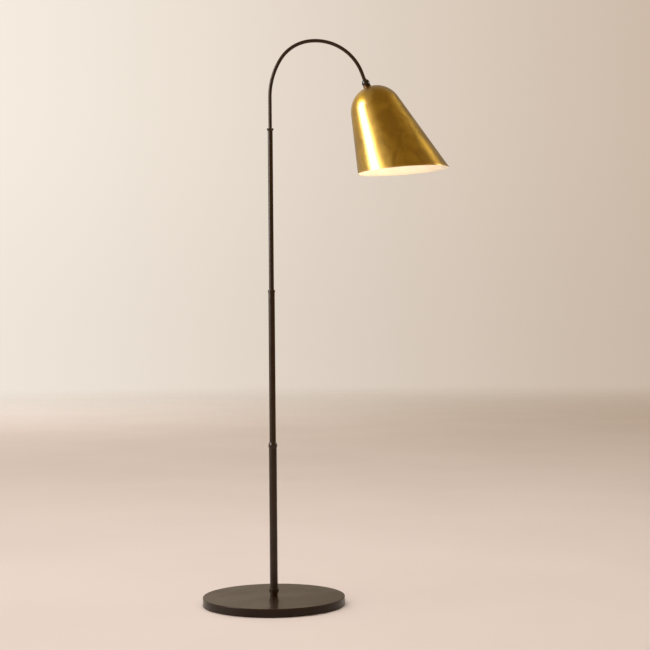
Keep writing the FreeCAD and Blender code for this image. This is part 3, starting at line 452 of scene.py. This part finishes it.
MATERIALS = {
    "base_paint": bronze_paint(
        "base_paint",
        dark=colour(0.014, 0.0065, 0.0025), light=colour(0.020, 0.0095, 0.004),
        rubbed=colour(0.07, 0.04, 0.02), gloss=(0.34, 0.42), peel=0.012, specular=0.12, coat=0.35,
    ),
    "pole_paint": bronze_paint(
        "pole_paint",
        dark=colour(0.025, 0.0115, 0.0045), light=colour(0.033, 0.016, 0.007),
        rubbed=colour(0.09, 0.055, 0.028), gloss=(0.26, 0.32), peel=0.008, specular=0.34,
    ),
    "swivel_paint": bronze_paint(
        "swivel_paint",
        dark=colour(0.012, 0.008, 0.005), light=colour(0.020, 0.014, 0.009),
        rubbed=colour(0.10, 0.07, 0.045), gloss=(0.12, 0.18), peel=0.004, specular=0.6,
    ),
    "holder_metal": bronze_paint(
        "holder_metal",
        dark=colour(0.018, 0.016, 0.014), light=colour(0.030, 0.027, 0.024),
        rubbed=colour(0.20, 0.17, 0.13), gloss=(0.28, 0.40), peel=0.01,
    ),
    "shade_brass": brushed_brass("shade_brass"),
    "toned_brass": turned_metal(
        "toned_brass", colour(0.045, 0.022, 0.008), colour(0.085, 0.045, 0.016), (0.28, 0.38),
        metallic=0.9, spot_scale=160, rubbed=colour(0.36, 0.21, 0.07),
    ),
    "bare_steel": turned_metal(
        "bare_steel", colour(0.50, 0.50, 0.50), colour(0.62, 0.61, 0.59), (0.22, 0.38),
    ),
    "contact_brass": turned_metal(
        "contact_brass", colour(0.72, 0.52, 0.22), colour(0.80, 0.62, 0.30), (0.22, 0.38),
    ),
    "bulb_metal": turned_metal(
        "bulb_metal", colour(0.70, 0.70, 0.69), colour(0.80, 0.80, 0.78), (0.2, 0.32),
    ),
    "shade_lining": enamel(
        "shade_lining", colour(0.83, 0.79, 0.71), colour(0.86, 0.82, 0.75), (0.32, 0.45),
    ),
    "cast_iron": cast("cast_iron", colour(0.05, 0.048, 0.046), colour(0.11, 0.105, 0.10), (0.55, 0.8)),
    "rubber": rubber("rubber", colour(0.014, 0.013, 0.012), colour(0.05, 0.046, 0.04), (0.6, 0.85)),
    "washer_plastic": moulded(
        "washer_plastic", colour(0.70, 0.66, 0.58), colour(0.78, 0.75, 0.68), (0.4, 0.55),
    ),
    "holder_ceramic": moulded(
        "holder_ceramic", colour(0.82, 0.79, 0.74), colour(0.90, 0.88, 0.84), (0.35, 0.55),
    ),
    "bulb_plastic": moulded(
        "bulb_plastic", colour(0.84, 0.82, 0.78), colour(0.90, 0.88, 0.85), (0.3, 0.42),
    ),
    "bulb_glass": lit_glass(
        "bulb_glass", colour(0.9, 0.86, 0.78), colour(0.95, 0.91, 0.84),
        glow_a=colour(1.0, 0.80, 0.54), glow_b=colour(1.0, 0.84, 0.60), strength=24.0,
    ),
}


def finished(thing, slot, body, *nodes):
    """Give a piece its slot's material and its body, and hide the CAD nodes that it stands for."""
    thing.data.materials.clear()
    thing.data.materials.append(MATERIALS[slot])
    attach(thing, body)
    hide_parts(*nodes)
    return thing


# Base ------------------------------------------------------------------------------------------


def base():
    """The cover, the non-slip pad under it and the grommet of the inlet at its back."""
    WALL = 1.5
    PAD_RADIUS, PAD_TOP = 194, 2
    GROMMET_BORE, GROMMET_NECK, GROMMET_FLANGE = 3.4, 5, 6.8
    INNER_FLANGE, OUTER_FLANGE, WALL_GAP = 2.5, 1.5, 0.2
    HOLE_START, HOLE_END = 190, 205
    inside = BASE_RADIUS - WALL
    ceiling = BASE_TOP - WALL

    corners = [
        (ROD_HOLE, BASE_TOP, 0), (BASE_RADIUS, BASE_TOP, 1.4), (BASE_RADIUS, PAD_TOP, 0.3),
        (inside, PAD_TOP, 0.2), (inside, ceiling, 0.8), (ROD_HOLE, ceiling, 0),
    ]
    cover = lathe("cover", rounded(corners, steps=7), segments=288)
    carve(cover, "DIFFERENCE", rod("inlet_hole", GROMMET_NECK + FIT, HOLE_START, HOLE_END, INLET_FRAME))
    cover.data.set_sharp_from_angle(angle=SHARP_ANGLE)
    finished(cover, "base_paint", "stand", "base_cover")

    corners = [(0, PAD_TOP, 0), (PAD_RADIUS, PAD_TOP, 0.2), (PAD_RADIUS, 0, 0.5), (0, 0, 0)]
    pad = lathe("pad", rounded(corners, closed=False), segments=192, closed=False)
    finished(pad, "rubber", "stand", "base_pad")

    flange_top = inside - WALL_GAP
    start, end = flange_top - INNER_FLANGE, BASE_RADIUS + OUTER_FLANGE
    corners = [
        (GROMMET_BORE, start, 0.5), (GROMMET_FLANGE, start, 0.4), (GROMMET_FLANGE, flange_top, 0.3),
        (GROMMET_NECK, flange_top, 0.1), (GROMMET_NECK, BASE_RADIUS, 0.1),
        (GROMMET_FLANGE, BASE_RADIUS, 0.3), (GROMMET_FLANGE, end, 0.7), (GROMMET_BORE, end, 0.6),
    ]
    finished(lathe("grommet", rounded(corners), INLET_FRAME), "rubber", "stand", "inlet_grommet")


# Pole and arm ----------------------------------------------------------------------------------


def pole_piece(name, node, corners):
    finished(lathe(name, rounded(corners)), "pole_paint", "stand", node)


def foot():
    """The neck, whose plug carries the lower tube, and the collar above it."""
    NECK_RADIUS, PLUG_LENGTH = 10.6, 30
    COLLAR_RADIUS, COLLAR_HEIGHT = 13.4, 12
    plug_radius, plug_top = LOWER_BORE - FIT, NECK_TOP + PLUG_LENGTH
    pole_piece("neck", "foot_neck", [
        (ROD_HOLE, BASE_TOP, 0), (NECK_RADIUS, BASE_TOP, 0.2), (NECK_RADIUS, NECK_TOP, 0.4),
        (plug_radius, NECK_TOP, 0), (plug_radius, plug_top, 0.5), (ROD_HOLE, plug_top, 0),
    ])
    seat, top = LOWER_RADIUS + FIT, NECK_TOP + COLLAR_HEIGHT
    pole_piece("foot_ring", "foot_collar", [
        (seat, NECK_TOP, 0), (COLLAR_RADIUS, NECK_TOP, 0.9), (COLLAR_RADIUS, top, 0.9), (seat, top, 0.25),
    ])


def tubes():
    EDGE = 0.2
    for name, node, radius, bore, bottom, top in (
        ("tube_1", "lower_tube", LOWER_RADIUS, LOWER_BORE, NECK_TOP, LOWER_TOP),
        ("tube_2", "middle_tube", MIDDLE_RADIUS, MIDDLE_BORE, LOWER_TOP, MIDDLE_TOP),
        ("tube_3", "upper_tube", UPPER_RADIUS, UPPER_BORE, MIDDLE_TOP, UPPER_TOP),
    ):
        corners = [(bore, bottom, 0), (radius, bottom, EDGE), (radius, top, EDGE), (bore, top, 0)]
        pole_piece(name, node, corners)


def collars():
    """A tapered ring, a small ring and a flared flange, where the tubes change size."""
    RADIUS_1, FLARE_1, BAND_1, TAPER_1, LIP_1 = 12.4, 5.5, 4.5, 6.5, 0.7
    seat = MIDDLE_RADIUS + FIT
    band_start = LOWER_TOP + FLARE_1
    band_end = band_start + BAND_1
    top = band_end + TAPER_1
    pole_piece("ring_1", "lower_collar", [
        (seat, LOWER_TOP, 0), (LOWER_RADIUS, LOWER_TOP, 0.25), (RADIUS_1, band_start, 2.5),
        (RADIUS_1, band_end, 1.6), (seat + LIP_1, top, 0.3), (seat, top, 0.1),
    ])

    RADIUS_2, HEIGHT_2 = 9.9, 7
    seat, top = UPPER_RADIUS + FIT, MIDDLE_TOP + HEIGHT_2
    pole_piece("ring_2", "middle_collar", [
        (seat, MIDDLE_TOP, 0), (RADIUS_2, MIDDLE_TOP, 0.35), (RADIUS_2, top, 0.9), (seat, top, 0.2),
    ])

    RADIUS_3, FLARE_3, RIM_3, CROWN_3, LIP_3 = 10, 5.2, 1.6, 1.2, 1.2
    seat = ARM_RADIUS + FIT
    rim_start = UPPER_TOP + FLARE_3
    rim_end = rim_start + RIM_3
    top = rim_end + CROWN_3
    pole_piece("ring_3", "top_collar", [
        (seat, UPPER_TOP, 0), (UPPER_RADIUS, UPPER_TOP, 0.3), (RADIUS_3, rim_start, 0.7),
        (RADIUS_3, rim_end, 0.6), (seat + LIP_3, top, 0.3), (seat, top, 0.1),
    ])


def heading(turn):
    """Along the arm, where it leans from upright by turn."""
    return Vector((math.sin(turn), 0, math.cos(turn)))


def across(turn):
    """Square to the arm, in its plane."""
    return Vector((math.cos(turn), 0, -math.sin(turn)))


def arm_stations():
    """Points and turns down the middle of the arm: a straight run, three arcs and a straight tip."""
    STRAIGHT, TIP_RUN = 95.5, 32
    turn = 0.0
    here = Vector((0, 0, UPPER_TOP + STRAIGHT))
    stations = [(Vector((0, 0, UPPER_TOP)), turn), (here, turn)]
    for radius, degrees, steps in ARM_ARCS:
        centre = here + across(turn) * radius
        for step in range(1, steps + 1):
            now = turn + math.radians(degrees) * step / steps
            stations.append((centre - across(now) * radius, now))
        here, turn = stations[-1]
    stations.append((here + heading(turn) * (TIP_RUN - TUBE_TO_BALL - BALL_RADIUS), turn))
    return stations


def arm():
    """One bent tube with a rounded lip at its tip."""
    SEGMENTS, LIP, LIP_STEPS = 64, 0.25, 4
    turns = [math.tau * j / SEGMENTS for j in range(SEGMENTS)]
    out = Vector((0, 1, 0))

    def ring(station, radius, slip=0.0):
        centre, turn = station
        middle = centre + heading(turn) * slip
        return [middle + across(turn) * radius * math.cos(t) + out * radius * math.sin(t) for t in turns]

    stations = arm_stations()
    rows = [ring(station, ARM_RADIUS) for station in stations[:-1]]
    wears = [0.0] * len(rows)
    for step in range(LIP_STEPS + 1):
        bend = math.pi / 2 * step / LIP_STEPS
        rows.append(ring(stations[-1], ARM_RADIUS - LIP * (1 - math.cos(bend)), LIP * (math.sin(bend) - 1)))
        wears.append(1.0)
    for station in reversed(stations):
        rows.append(ring(station, ARM_BORE))
        wears.append(0.0)
    finished(skin("arm", rows, wears, closed=True), "pole_paint", "stand", "arm_tube")


# Swivel ----------------------------------------------------------------------------------------

# From the ball's middle: each half's flat face, the notch's floor and the start of the port.
SPLIT, NOTCH, PORT_START = 0.3, 5.8, 6.2
CUT_MARGIN = 1


def half_ball(name, side, matrix, port_end):
    """Half a ball, towards the frame's +Y (side 1) or -Y (side -1).

    It has a port along the frame's Z and a notch opposite, for the other half's port.
    """
    EDGE, EDGE_BULGE, SPHERE_STEPS, HUB_RADIUS, REACH = 0.35, 0.3, 36, 3.6, 13
    start = math.asin((SPLIT + EDGE) / BALL_RADIUS)
    flat = math.sqrt(BALL_RADIUS ** 2 - SPLIT ** 2)
    bulge = EDGE_BULGE * EDGE
    outline = [
        (0, SPLIT, 0), (flat - 3 * EDGE, SPLIT, 0),
        (flat - EDGE, SPLIT, 1), (flat - bulge, SPLIT + bulge, 1),
    ]
    for step in range(SPHERE_STEPS + 1):
        turn = start + (math.pi / 2 - start) * step / SPHERE_STEPS
        wear = 1.0 if step == 0 else 0.0
        outline.append((BALL_RADIUS * math.cos(turn), BALL_RADIUS * math.sin(turn), wear))
    towards_side = matrix @ Matrix.Rotation(-side * math.pi / 2, 4, "X")
    half = lathe(name, outline, towards_side, 128, closed=False)
    near, far = sorted((-side * SPLIT, side * NOTCH))
    notch = block(name + "_layer", (-REACH, near, -REACH), (REACH, far, 0), matrix)
    carve(notch, "DIFFERENCE", rod(name + "_hub", HUB_RADIUS, -CUT_MARGIN, NOTCH + CUT_MARGIN, towards_side))
    carve(half, "DIFFERENCE", notch)
    return carve(half, "UNION", rod(name + "_port", PORT_RADIUS, PORT_START, port_end, matrix, 96))


def swivel():
    """Two half balls on a hinge screw. The upper one turns on its stem in the arm's tip."""
    UPPER_PORT_END, LOWER_PORT_END = 11.6, 12
    STEM_RADIUS, STEM_START, STEM_END = 3, 11, 28.2
    BORE_RADIUS, BORE_END = 1.9, 29
    SCREW_RADIUS, SCREW_REACH = 2, 7
    POCKET_RADIUS, POCKET_FLOOR, PAST_BALL, SPRING_WASHER = 3.8, 7.3, 12, 0.5
    HEAD_RADIUS, HEAD_HEIGHT = 3.4, 2.2
    SLOT_WIDTH, SLOT_DEPTH, SLOT_REACH = 0.9, 1, 5
    EDGE, SCREW_EDGE = 0.18, 0.08

    upper = half_ball("upper_half", -1, TIP_FRAME, UPPER_PORT_END)
    carve(upper, "UNION", rod("stem", STEM_RADIUS, STEM_START, STEM_END, TIP_FRAME))
    carve(upper, "DIFFERENCE", rod("stem_bore", BORE_RADIUS, PORT_START, BORE_END, TIP_FRAME))
    finished(soften(upper, EDGE), "swivel_paint", "swivel", "swivel_upper")

    lower = half_ball("lower_half", 1, HEAD_FRAME, LOWER_PORT_END)
    to_back = HEAD_FRAME @ ALONG_Y
    carve(lower, "DIFFERENCE", rod("hinge_hole", SCREW_RADIUS + FIT, -CUT_MARGIN, PAST_BALL, to_back))
    carve(lower, "DIFFERENCE", rod("head_pocket", POCKET_RADIUS, POCKET_FLOOR, PAST_BALL, to_back))
    finished(soften(lower, EDGE), "swivel_paint", "head", "swivel_lower")

    back = TIP_FRAME @ ALONG_Y
    head = POCKET_FLOOR + SPRING_WASHER
    top = head + HEAD_HEIGHT
    corners = [
        (0, -SCREW_REACH, 0), (SCREW_RADIUS, -SCREW_REACH, 0.4), (SCREW_RADIUS, head, 0),
        (HEAD_RADIUS, head, 0.15), (HEAD_RADIUS, top, 0.7), (0, top, 0),
    ]
    screw = lathe("hinge_screw", rounded(corners, closed=False), back, 64, closed=False)
    slot_low = (-SLOT_REACH, -SLOT_WIDTH / 2, top - SLOT_DEPTH)
    slot_high = (SLOT_REACH, SLOT_WIDTH / 2, top + CUT_MARGIN)
    carve(screw, "DIFFERENCE", block("screw_slot", slot_low, slot_high, back))
    finished(soften(screw, SCREW_EDGE, degrees=50, segments=2), "swivel_paint", "swivel", "swivel_screw")


# Shade -----------------------------------------------------------------------------------------


def neck_cap():
    """A cup on the shade's seat, hollowed to clear the ball.

    Its brass is toned darker than the shade's.
    """
    FLOOR, BALL_GAP, PORT_GAP = 1.2, 0.5, 0.1
    FOOT_RADIUS, RIM_RADIUS, RIM_HEIGHT, STEPS = 11.2, 10.2, 6.5, 10
    floor_height = SEAT - FLOOR
    hollow = BALL_RADIUS + BALL_GAP
    recess = PORT_RADIUS + PORT_GAP
    corners = [
        (recess, floor_height, 0), (SHADE_HOLE, floor_height, 0), (SHADE_HOLE, SEAT, 0),
        (FOOT_RADIUS, SEAT, 0.35), (RIM_RADIUS, RIM_HEIGHT, 0.15),
    ]
    outline = rounded(corners, closed=False)
    first = math.asin(RIM_HEIGHT / hollow)
    last = math.acos(recess / hollow)
    for step in range(STEPS + 1):
        turn = first + (last - first) * step / STEPS
        outline.append((hollow * math.cos(turn), hollow * math.sin(turn), 0.0))
    cup = finished(lathe("cup", outline, HEAD_FRAME, 128), "shade_brass", "head", "neck_cap")
    cup.data.materials[0] = MATERIALS["toned_brass"]


def shade():
    """Spun bell with a fine rounded rim, cut obliquely. Brass outside, white lacquer inside."""
    CONE = math.radians(14.55)
    RIM_DISTANCE, RIM_SLOPE = 266, math.tan(math.radians(17))
    SEAT_EDGE = 1.2
    SEGMENTS, DOME_STEPS, CONE_STEPS, LIP_STEPS = 224, 30, 30, 8
    tangent_height = DOME_CENTRE - DOME_RADIUS * math.sin(CONE)
    tangent_radius = DOME_RADIUS * math.cos(CONE)
    apex_radius = tangent_radius - tangent_height * math.tan(CONE)
    half_wall = SHADE_WALL / 2
    outward = Vector((math.cos(CONE), -math.sin(CONE)))
    down = Vector((math.sin(CONE), math.cos(CONE)))
    cone_turn = math.pi / 2 - CONE

    def dome_point(radius, turn):
        return Vector((radius * math.sin(turn), DOME_CENTRE - radius * math.cos(turn)))

    def meridian(angle):
        """Points (radius, height) down the outside, round the rim and up the inside."""
        slope = RIM_SLOPE * math.cos(angle)
        rim_height = (RIM_DISTANCE - apex_radius * slope) / (1 + math.tan(CONE) * slope)
        start = Vector((tangent_radius, tangent_height))
        rim = Vector((apex_radius + rim_height * math.tan(CONE), rim_height)) - down * half_wall
        points = [Vector((SHADE_HOLE, SEAT)), Vector((SEAT_RADIUS - SEAT_EDGE, SEAT))]
        seat_turn = math.asin(SEAT_RADIUS / DOME_RADIUS)
        for step in range(DOME_STEPS + 1):
            points.append(dome_point(DOME_RADIUS, seat_turn + (cone_turn - seat_turn) * step / DOME_STEPS))
        for step in range(1, CONE_STEPS + 1):
            points.append(start.lerp(rim, step / CONE_STEPS))
        middle = rim - outward * half_wall
        for step in range(1, LIP_STEPS):
            turn = math.pi * step / LIP_STEPS
            points.append(middle + outward * half_wall * math.cos(turn) + down * half_wall * math.sin(turn))
        for step in range(CONE_STEPS + 1):
            points.append(rim.lerp(start, step / CONE_STEPS) - outward * SHADE_WALL)
        inner = DOME_RADIUS - SHADE_WALL
        seat_turn = math.acos((DOME_CENTRE - SEAT - SHADE_WALL) / inner)
        for step in range(1, DOME_STEPS + 1):
            points.append(dome_point(inner, cone_turn + (seat_turn - cone_turn) * step / DOME_STEPS))
        points.append(Vector((SHADE_HOLE, SEAT + SHADE_WALL)))
        return points

    columns = []
    for j in range(SEGMENTS):
        angle = math.tau * j / SEGMENTS
        columns.append([(p.x * math.cos(angle), p.x * math.sin(angle), p.y) for p in meridian(angle)])
    rows = [list(row) for row in zip(*columns)]
    outside_rows = 2 + DOME_STEPS + CONE_STEPS
    wears = [1.0 if outside_rows <= i <= outside_rows + LIP_STEPS else 0.0 for i in range(len(rows))]
    bell = skin("bell", rows, wears, closed=True, matrix=HEAD_FRAME)
    finished(bell, "shade_brass", "head", "shade")
    bell.data.materials.append(MATERIALS["shade_lining"])
    # Faces keep the order of the rows they join, ring by ring. The hole's wall stays brass.
    first_inside = (outside_rows + LIP_STEPS - 1) * SEGMENTS
    hole_edge = (SHADE_HOLE + 0.1) * MM
    for face in bell.data.polygons:
        if face.index >= first_inside and face.center.xy.length > hole_edge:
            face.material_index = 1


# Lamp holder and bulb --------------------------------------------------------------------------

INNER_WASHER, SHADE_NUT = 1.2, 4
HOLDER_TOP = SEAT + SHADE_WALL + INNER_WASHER + SHADE_NUT


def lamp_holder():
    """The holder's shouldered cap and the shell that screws into it."""
    HOLE = 4 + FIT
    TOP_RADIUS, RADIUS, WALL = 11, 16.5, 0.8
    SHOULDER, LENGTH = 5.5, 20
    HUB_RADIUS, HUB_LENGTH = 7.5, 8
    SHELL_WALL, SHELL_START, SHELL_LENGTH = 0.7, 12, 41
    top, ceiling = HOLDER_TOP, HOLDER_TOP + WALL
    end, hub_end = top + LENGTH, top + HUB_LENGTH
    corners = [
        (HOLE, top, 0), (TOP_RADIUS, top, 1.6), (RADIUS, top + SHOULDER, 2.2), (RADIUS, end, 0.3),
        (RADIUS - WALL, end, 0.1), (RADIUS - WALL, ceiling + SHOULDER, 1.4),
        (TOP_RADIUS - WALL, ceiling, 0.8), (HUB_RADIUS, ceiling, 0), (HUB_RADIUS, hub_end, 0),
        (HOLE, hub_end, 0),
    ]
    finished(lathe("cap", rounded(corners), HEAD_FRAME), "holder_metal", "head", "holder_cap")
    outer = RADIUS - WALL - FIT
    inner = outer - SHELL_WALL
    start, end = top + SHELL_START, top + SHELL_START + SHELL_LENGTH
    corners = [(inner, start, 0), (outer, start, 0.2), (outer, end, 0.25), (inner, end, 0.2)]
    finished(lathe("shell", rounded(corners), HEAD_FRAME), "holder_metal", "head", "holder_shell")


def bulb():
    """The bulb's flared housing and its hollow globe."""
    CORE_START, CORE_FLOOR, CONTACT, SCREW_CAP = 13, 12, 1.6, 26
    NECK_RADIUS, MOUTH_RADIUS, HOUSING_LENGTH = 13.6, 24, 24
    GLOBE_RADIUS, GLOBE_WALL, STEPS = 30, 1.2, 48
    start = HOLDER_TOP + CORE_START + CORE_FLOOR + CONTACT + SCREW_CAP
    mouth = start + HOUSING_LENGTH
    corners = [(0, start, 0), (NECK_RADIUS, start, 0.8), (MOUTH_RADIUS, mouth, 0.5), (0, mouth, 0)]
    housing = lathe("bulb_body", rounded(corners, closed=False), HEAD_FRAME, closed=False)
    finished(housing, "bulb_plastic", "head", "bulb_housing")
    centre = mouth + math.sqrt(GLOBE_RADIUS ** 2 - MOUTH_RADIUS ** 2)
    outline = []
    for radius, order in ((GLOBE_RADIUS, 1), (GLOBE_RADIUS - GLOBE_WALL, -1)):
        first = math.acos((centre - mouth) / radius)
        turns = [first + (math.pi - first) * step / STEPS for step in range(STEPS + 1)][::order]
        outline += [(radius * math.sin(turn), centre - radius * math.cos(turn), 0.0) for turn in turns]
    finished(lathe("globe", outline, HEAD_FRAME, 128), "bulb_glass", "head", "bulb_globe")


base()
foot()
tubes()
collars()
arm()
swivel()
neck_cap()
shade()
lamp_holder()
bulb()

# The CAD nodes that still show keep their shapes and get this scene's materials.
for subpart in frame["record"]["subparts"]:
    node = frame["nodes"][subpart["node"]]
    if not node.hide_render:
        node.data.materials.clear()
        node.data.materials.append(MATERIALS[subpart["material_slot"]])


# Floor, light and camera -----------------------------------------------------------------------


def floor():
    """A wide pale disc that fades into the backdrop far from the lamp."""
    RADII = (0, 300, 1000, 4000, 9000, 20000)
    FADE_START, FADE_END = 6.5, 15.5
    PALE, PALER = colour(0.695, 0.64, 0.645), colour(0.725, 0.665, 0.67)
    rows = [circle(radius, 0, 128) for radius in RADII]
    disc = skin("floor", rows, [0.0] * len(rows), closed=False)
    finish = Finish("floor_paint")
    grain = finish.noise(700, detail=3, roughness=0.6)
    tone = finish.mix(finish.spread(finish.noise(1.2, detail=4), 0, 1), PALE, PALER)
    finish.set(base_color=tone, roughness=finish.spread(grain, 0.55, 0.7), specular_ior_level=0.25)
    finish.set(normal=finish.bump(grain, 0.02))
    distance = finish.add("VectorMath")
    distance.operation = "LENGTH"
    finish.link(finish.object_coords, distance.inputs[0])
    faded = finish.add("MixShader")
    finish.link(finish.spread(distance.outputs["Value"], 0, 1, FADE_START, FADE_END), faded.inputs[0])
    finish.link(finish.shader.outputs["BSDF"], faded.inputs[1])
    finish.link(finish.add("BsdfTransparent").outputs["BSDF"], faded.inputs[2])
    finish.link(faded.outputs["Shader"], finish.output.inputs["Surface"])
    disc.data.materials.append(finish.material)


def studio():
    """A backdrop for the camera with painted light and shade, darker to the right and at the horizon, and a dim
    warm room for light and gloss.
    """
    DIM, LOW_WALL = colour(0.31, 0.20, 0.055), colour(0.12, 0.09, 0.05)
    WALL, LIT_WALL = colour(0.34, 0.27, 0.19), colour(0.70, 0.58, 0.44)
    # LEFT, RIGHT and the horizon colour are painted light and shade for the camera's backdrop.
    LEFT, RIGHT = colour(1.0, 0.935, 0.835), colour(0.537, 0.408, 0.315)
    HORIZON_SHADE = colour(0.33, 0.27, 0.225)
    # Bright and dark places in the room: direction, where they start and are full, strength, colour.
    PLACES = (
        ((-0.95, 0.30, 0.1), 0.5, 0.95, 1.0, colour(0.55, 0.43, 0.26)),
        ((-0.72, 0, 0.68), 0.72, 0.97, 1.0, colour(0.46, 0.37, 0.24)),
        ((0.87, 0.5, 0.05), 0.6, 0.95, 1.0, colour(0.20, 0.15, 0.09)),
        ((-0.9, -0.4, 0.2), 0.7, 1.0, 0.8, colour(0.95, 0.76, 0.46)),
    )
    world = bpy.data.worlds.new("studio")
    bpy.context.scene.world = world
    world.use_nodes = True
    room = Nodes(world.node_tree)
    direction = room.add("TexCoord").outputs["Generated"]

    def towards(axis, start, end, strength=1.0):
        """Rise from 0 to strength as the cosine of the angle to an axis goes from start to end."""
        dot = room.add("VectorMath")
        dot.operation = "DOT_PRODUCT"
        room.link(direction, dot.inputs[0])
        dot.inputs[1].default_value = Vector(axis).normalized()
        return room.spread(dot.outputs["Value"], 0, strength, start, end)

    wall = room.mix(towards((-0.5, 0.86, 0.15), 0.80, 0.93), WALL, LIT_WALL)
    back = room.mix(towards((0, 0, 1), 0.02, 0.16), LOW_WALL, wall)
    tone = room.mix(towards((0, 1, 0), 0.1, 0.6), DIM, back)
    for axis, start, end, strength, place_tone in PLACES:
        tone = room.mix(towards(axis, start, end, strength), tone, place_tone)
    # Painted light and shade: the camera's backdrop fades from bright on the left to darker on the right, with a
    # band of painted shade at the horizon.
    backdrop = room.mix(towards((1, 0, 0), -0.45, 0.45), LEFT, RIGHT)
    backdrop = room.mix(towards((0, 0, -1), -0.15, 0.02, 0.10), backdrop, HORIZON_SHADE)
    seen = room.add("LightPath").outputs["Is Camera Ray"]
    light = room.add("Background")
    room.link(room.mix(seen, tone, backdrop), light.inputs["Color"])
    room.link(light.outputs["Background"], room.add("OutputWorld").inputs["Surface"])


def softbox(name, place, aim, size, power, tone, shaping):
    """A shaping light shows only in gloss, and a fill light only on matt surfaces."""
    data = bpy.data.lights.new(name, "AREA")
    data.shape = "RECTANGLE"
    data.size, data.size_y = size
    data.energy = power
    data.color = tone
    lamp = placed(name, data)
    lamp.location = place
    lamp.rotation_euler = (Vector(aim) - Vector(place)).to_track_quat("-Z", "Y").to_euler()
    lamp.visible_camera = False
    lamp.visible_glossy = shaping
    lamp.visible_diffuse = not shaping


def lights():
    softbox(
        "key", place=(-3.13, -0.87, 2.1), aim=(0.1, 0, 0.9), size=(1.6, 2.4),
        power=150, tone=(1.0, 0.975, 0.95), shaping=True,
    )
    softbox(
        "side", place=(2.9, 0.65, 2.3), aim=(0.3, 0, 1.3), size=(0.5, 0.8),
        power=25, tone=(1.0, 0.91, 0.82), shaping=True,
    )
    softbox(
        "sky", place=(-1.2, -0.5, 6), aim=(-1.2, -0.5, 0), size=(16, 16),
        power=375, tone=(1.0, 0.96, 0.94), shaping=False,
    )
    softbox(
        "overhead", place=(-0.9, -0.1, 4.5), aim=(-0.9, -0.1, 0), size=(4, 4),
        power=118, tone=(1.0, 0.975, 0.97), shaping=False,
    )
    softbox(
        "backwash", place=(-3.8, 10, 4.2), aim=(-3.5, 9.7, 0), size=(5, 6),
        power=210, tone=(1.0, 0.975, 0.96), shaping=False,
    )


def camera():
    """Level, square to the arm's plane, and rolled by the photograph's slight tilt."""
    PLACE = (0.150, -4.22, 0.786)
    LENS, SENSOR, ROLL = 82.91, 36, math.radians(-0.475)
    data = bpy.data.cameras.new("camera")
    data.lens, data.sensor_width = LENS, SENSOR
    data.clip_end = 100
    level = Matrix.Rotation(math.pi / 2, 4, "X")
    place = Matrix.Translation(PLACE) @ level @ Matrix.Rotation(ROLL, 4, "Z")
    bpy.context.scene.camera = placed("camera", data, place)


floor()
studio()
lights()
camera()
bpy.context.scene.view_settings.view_transform = "Standard"
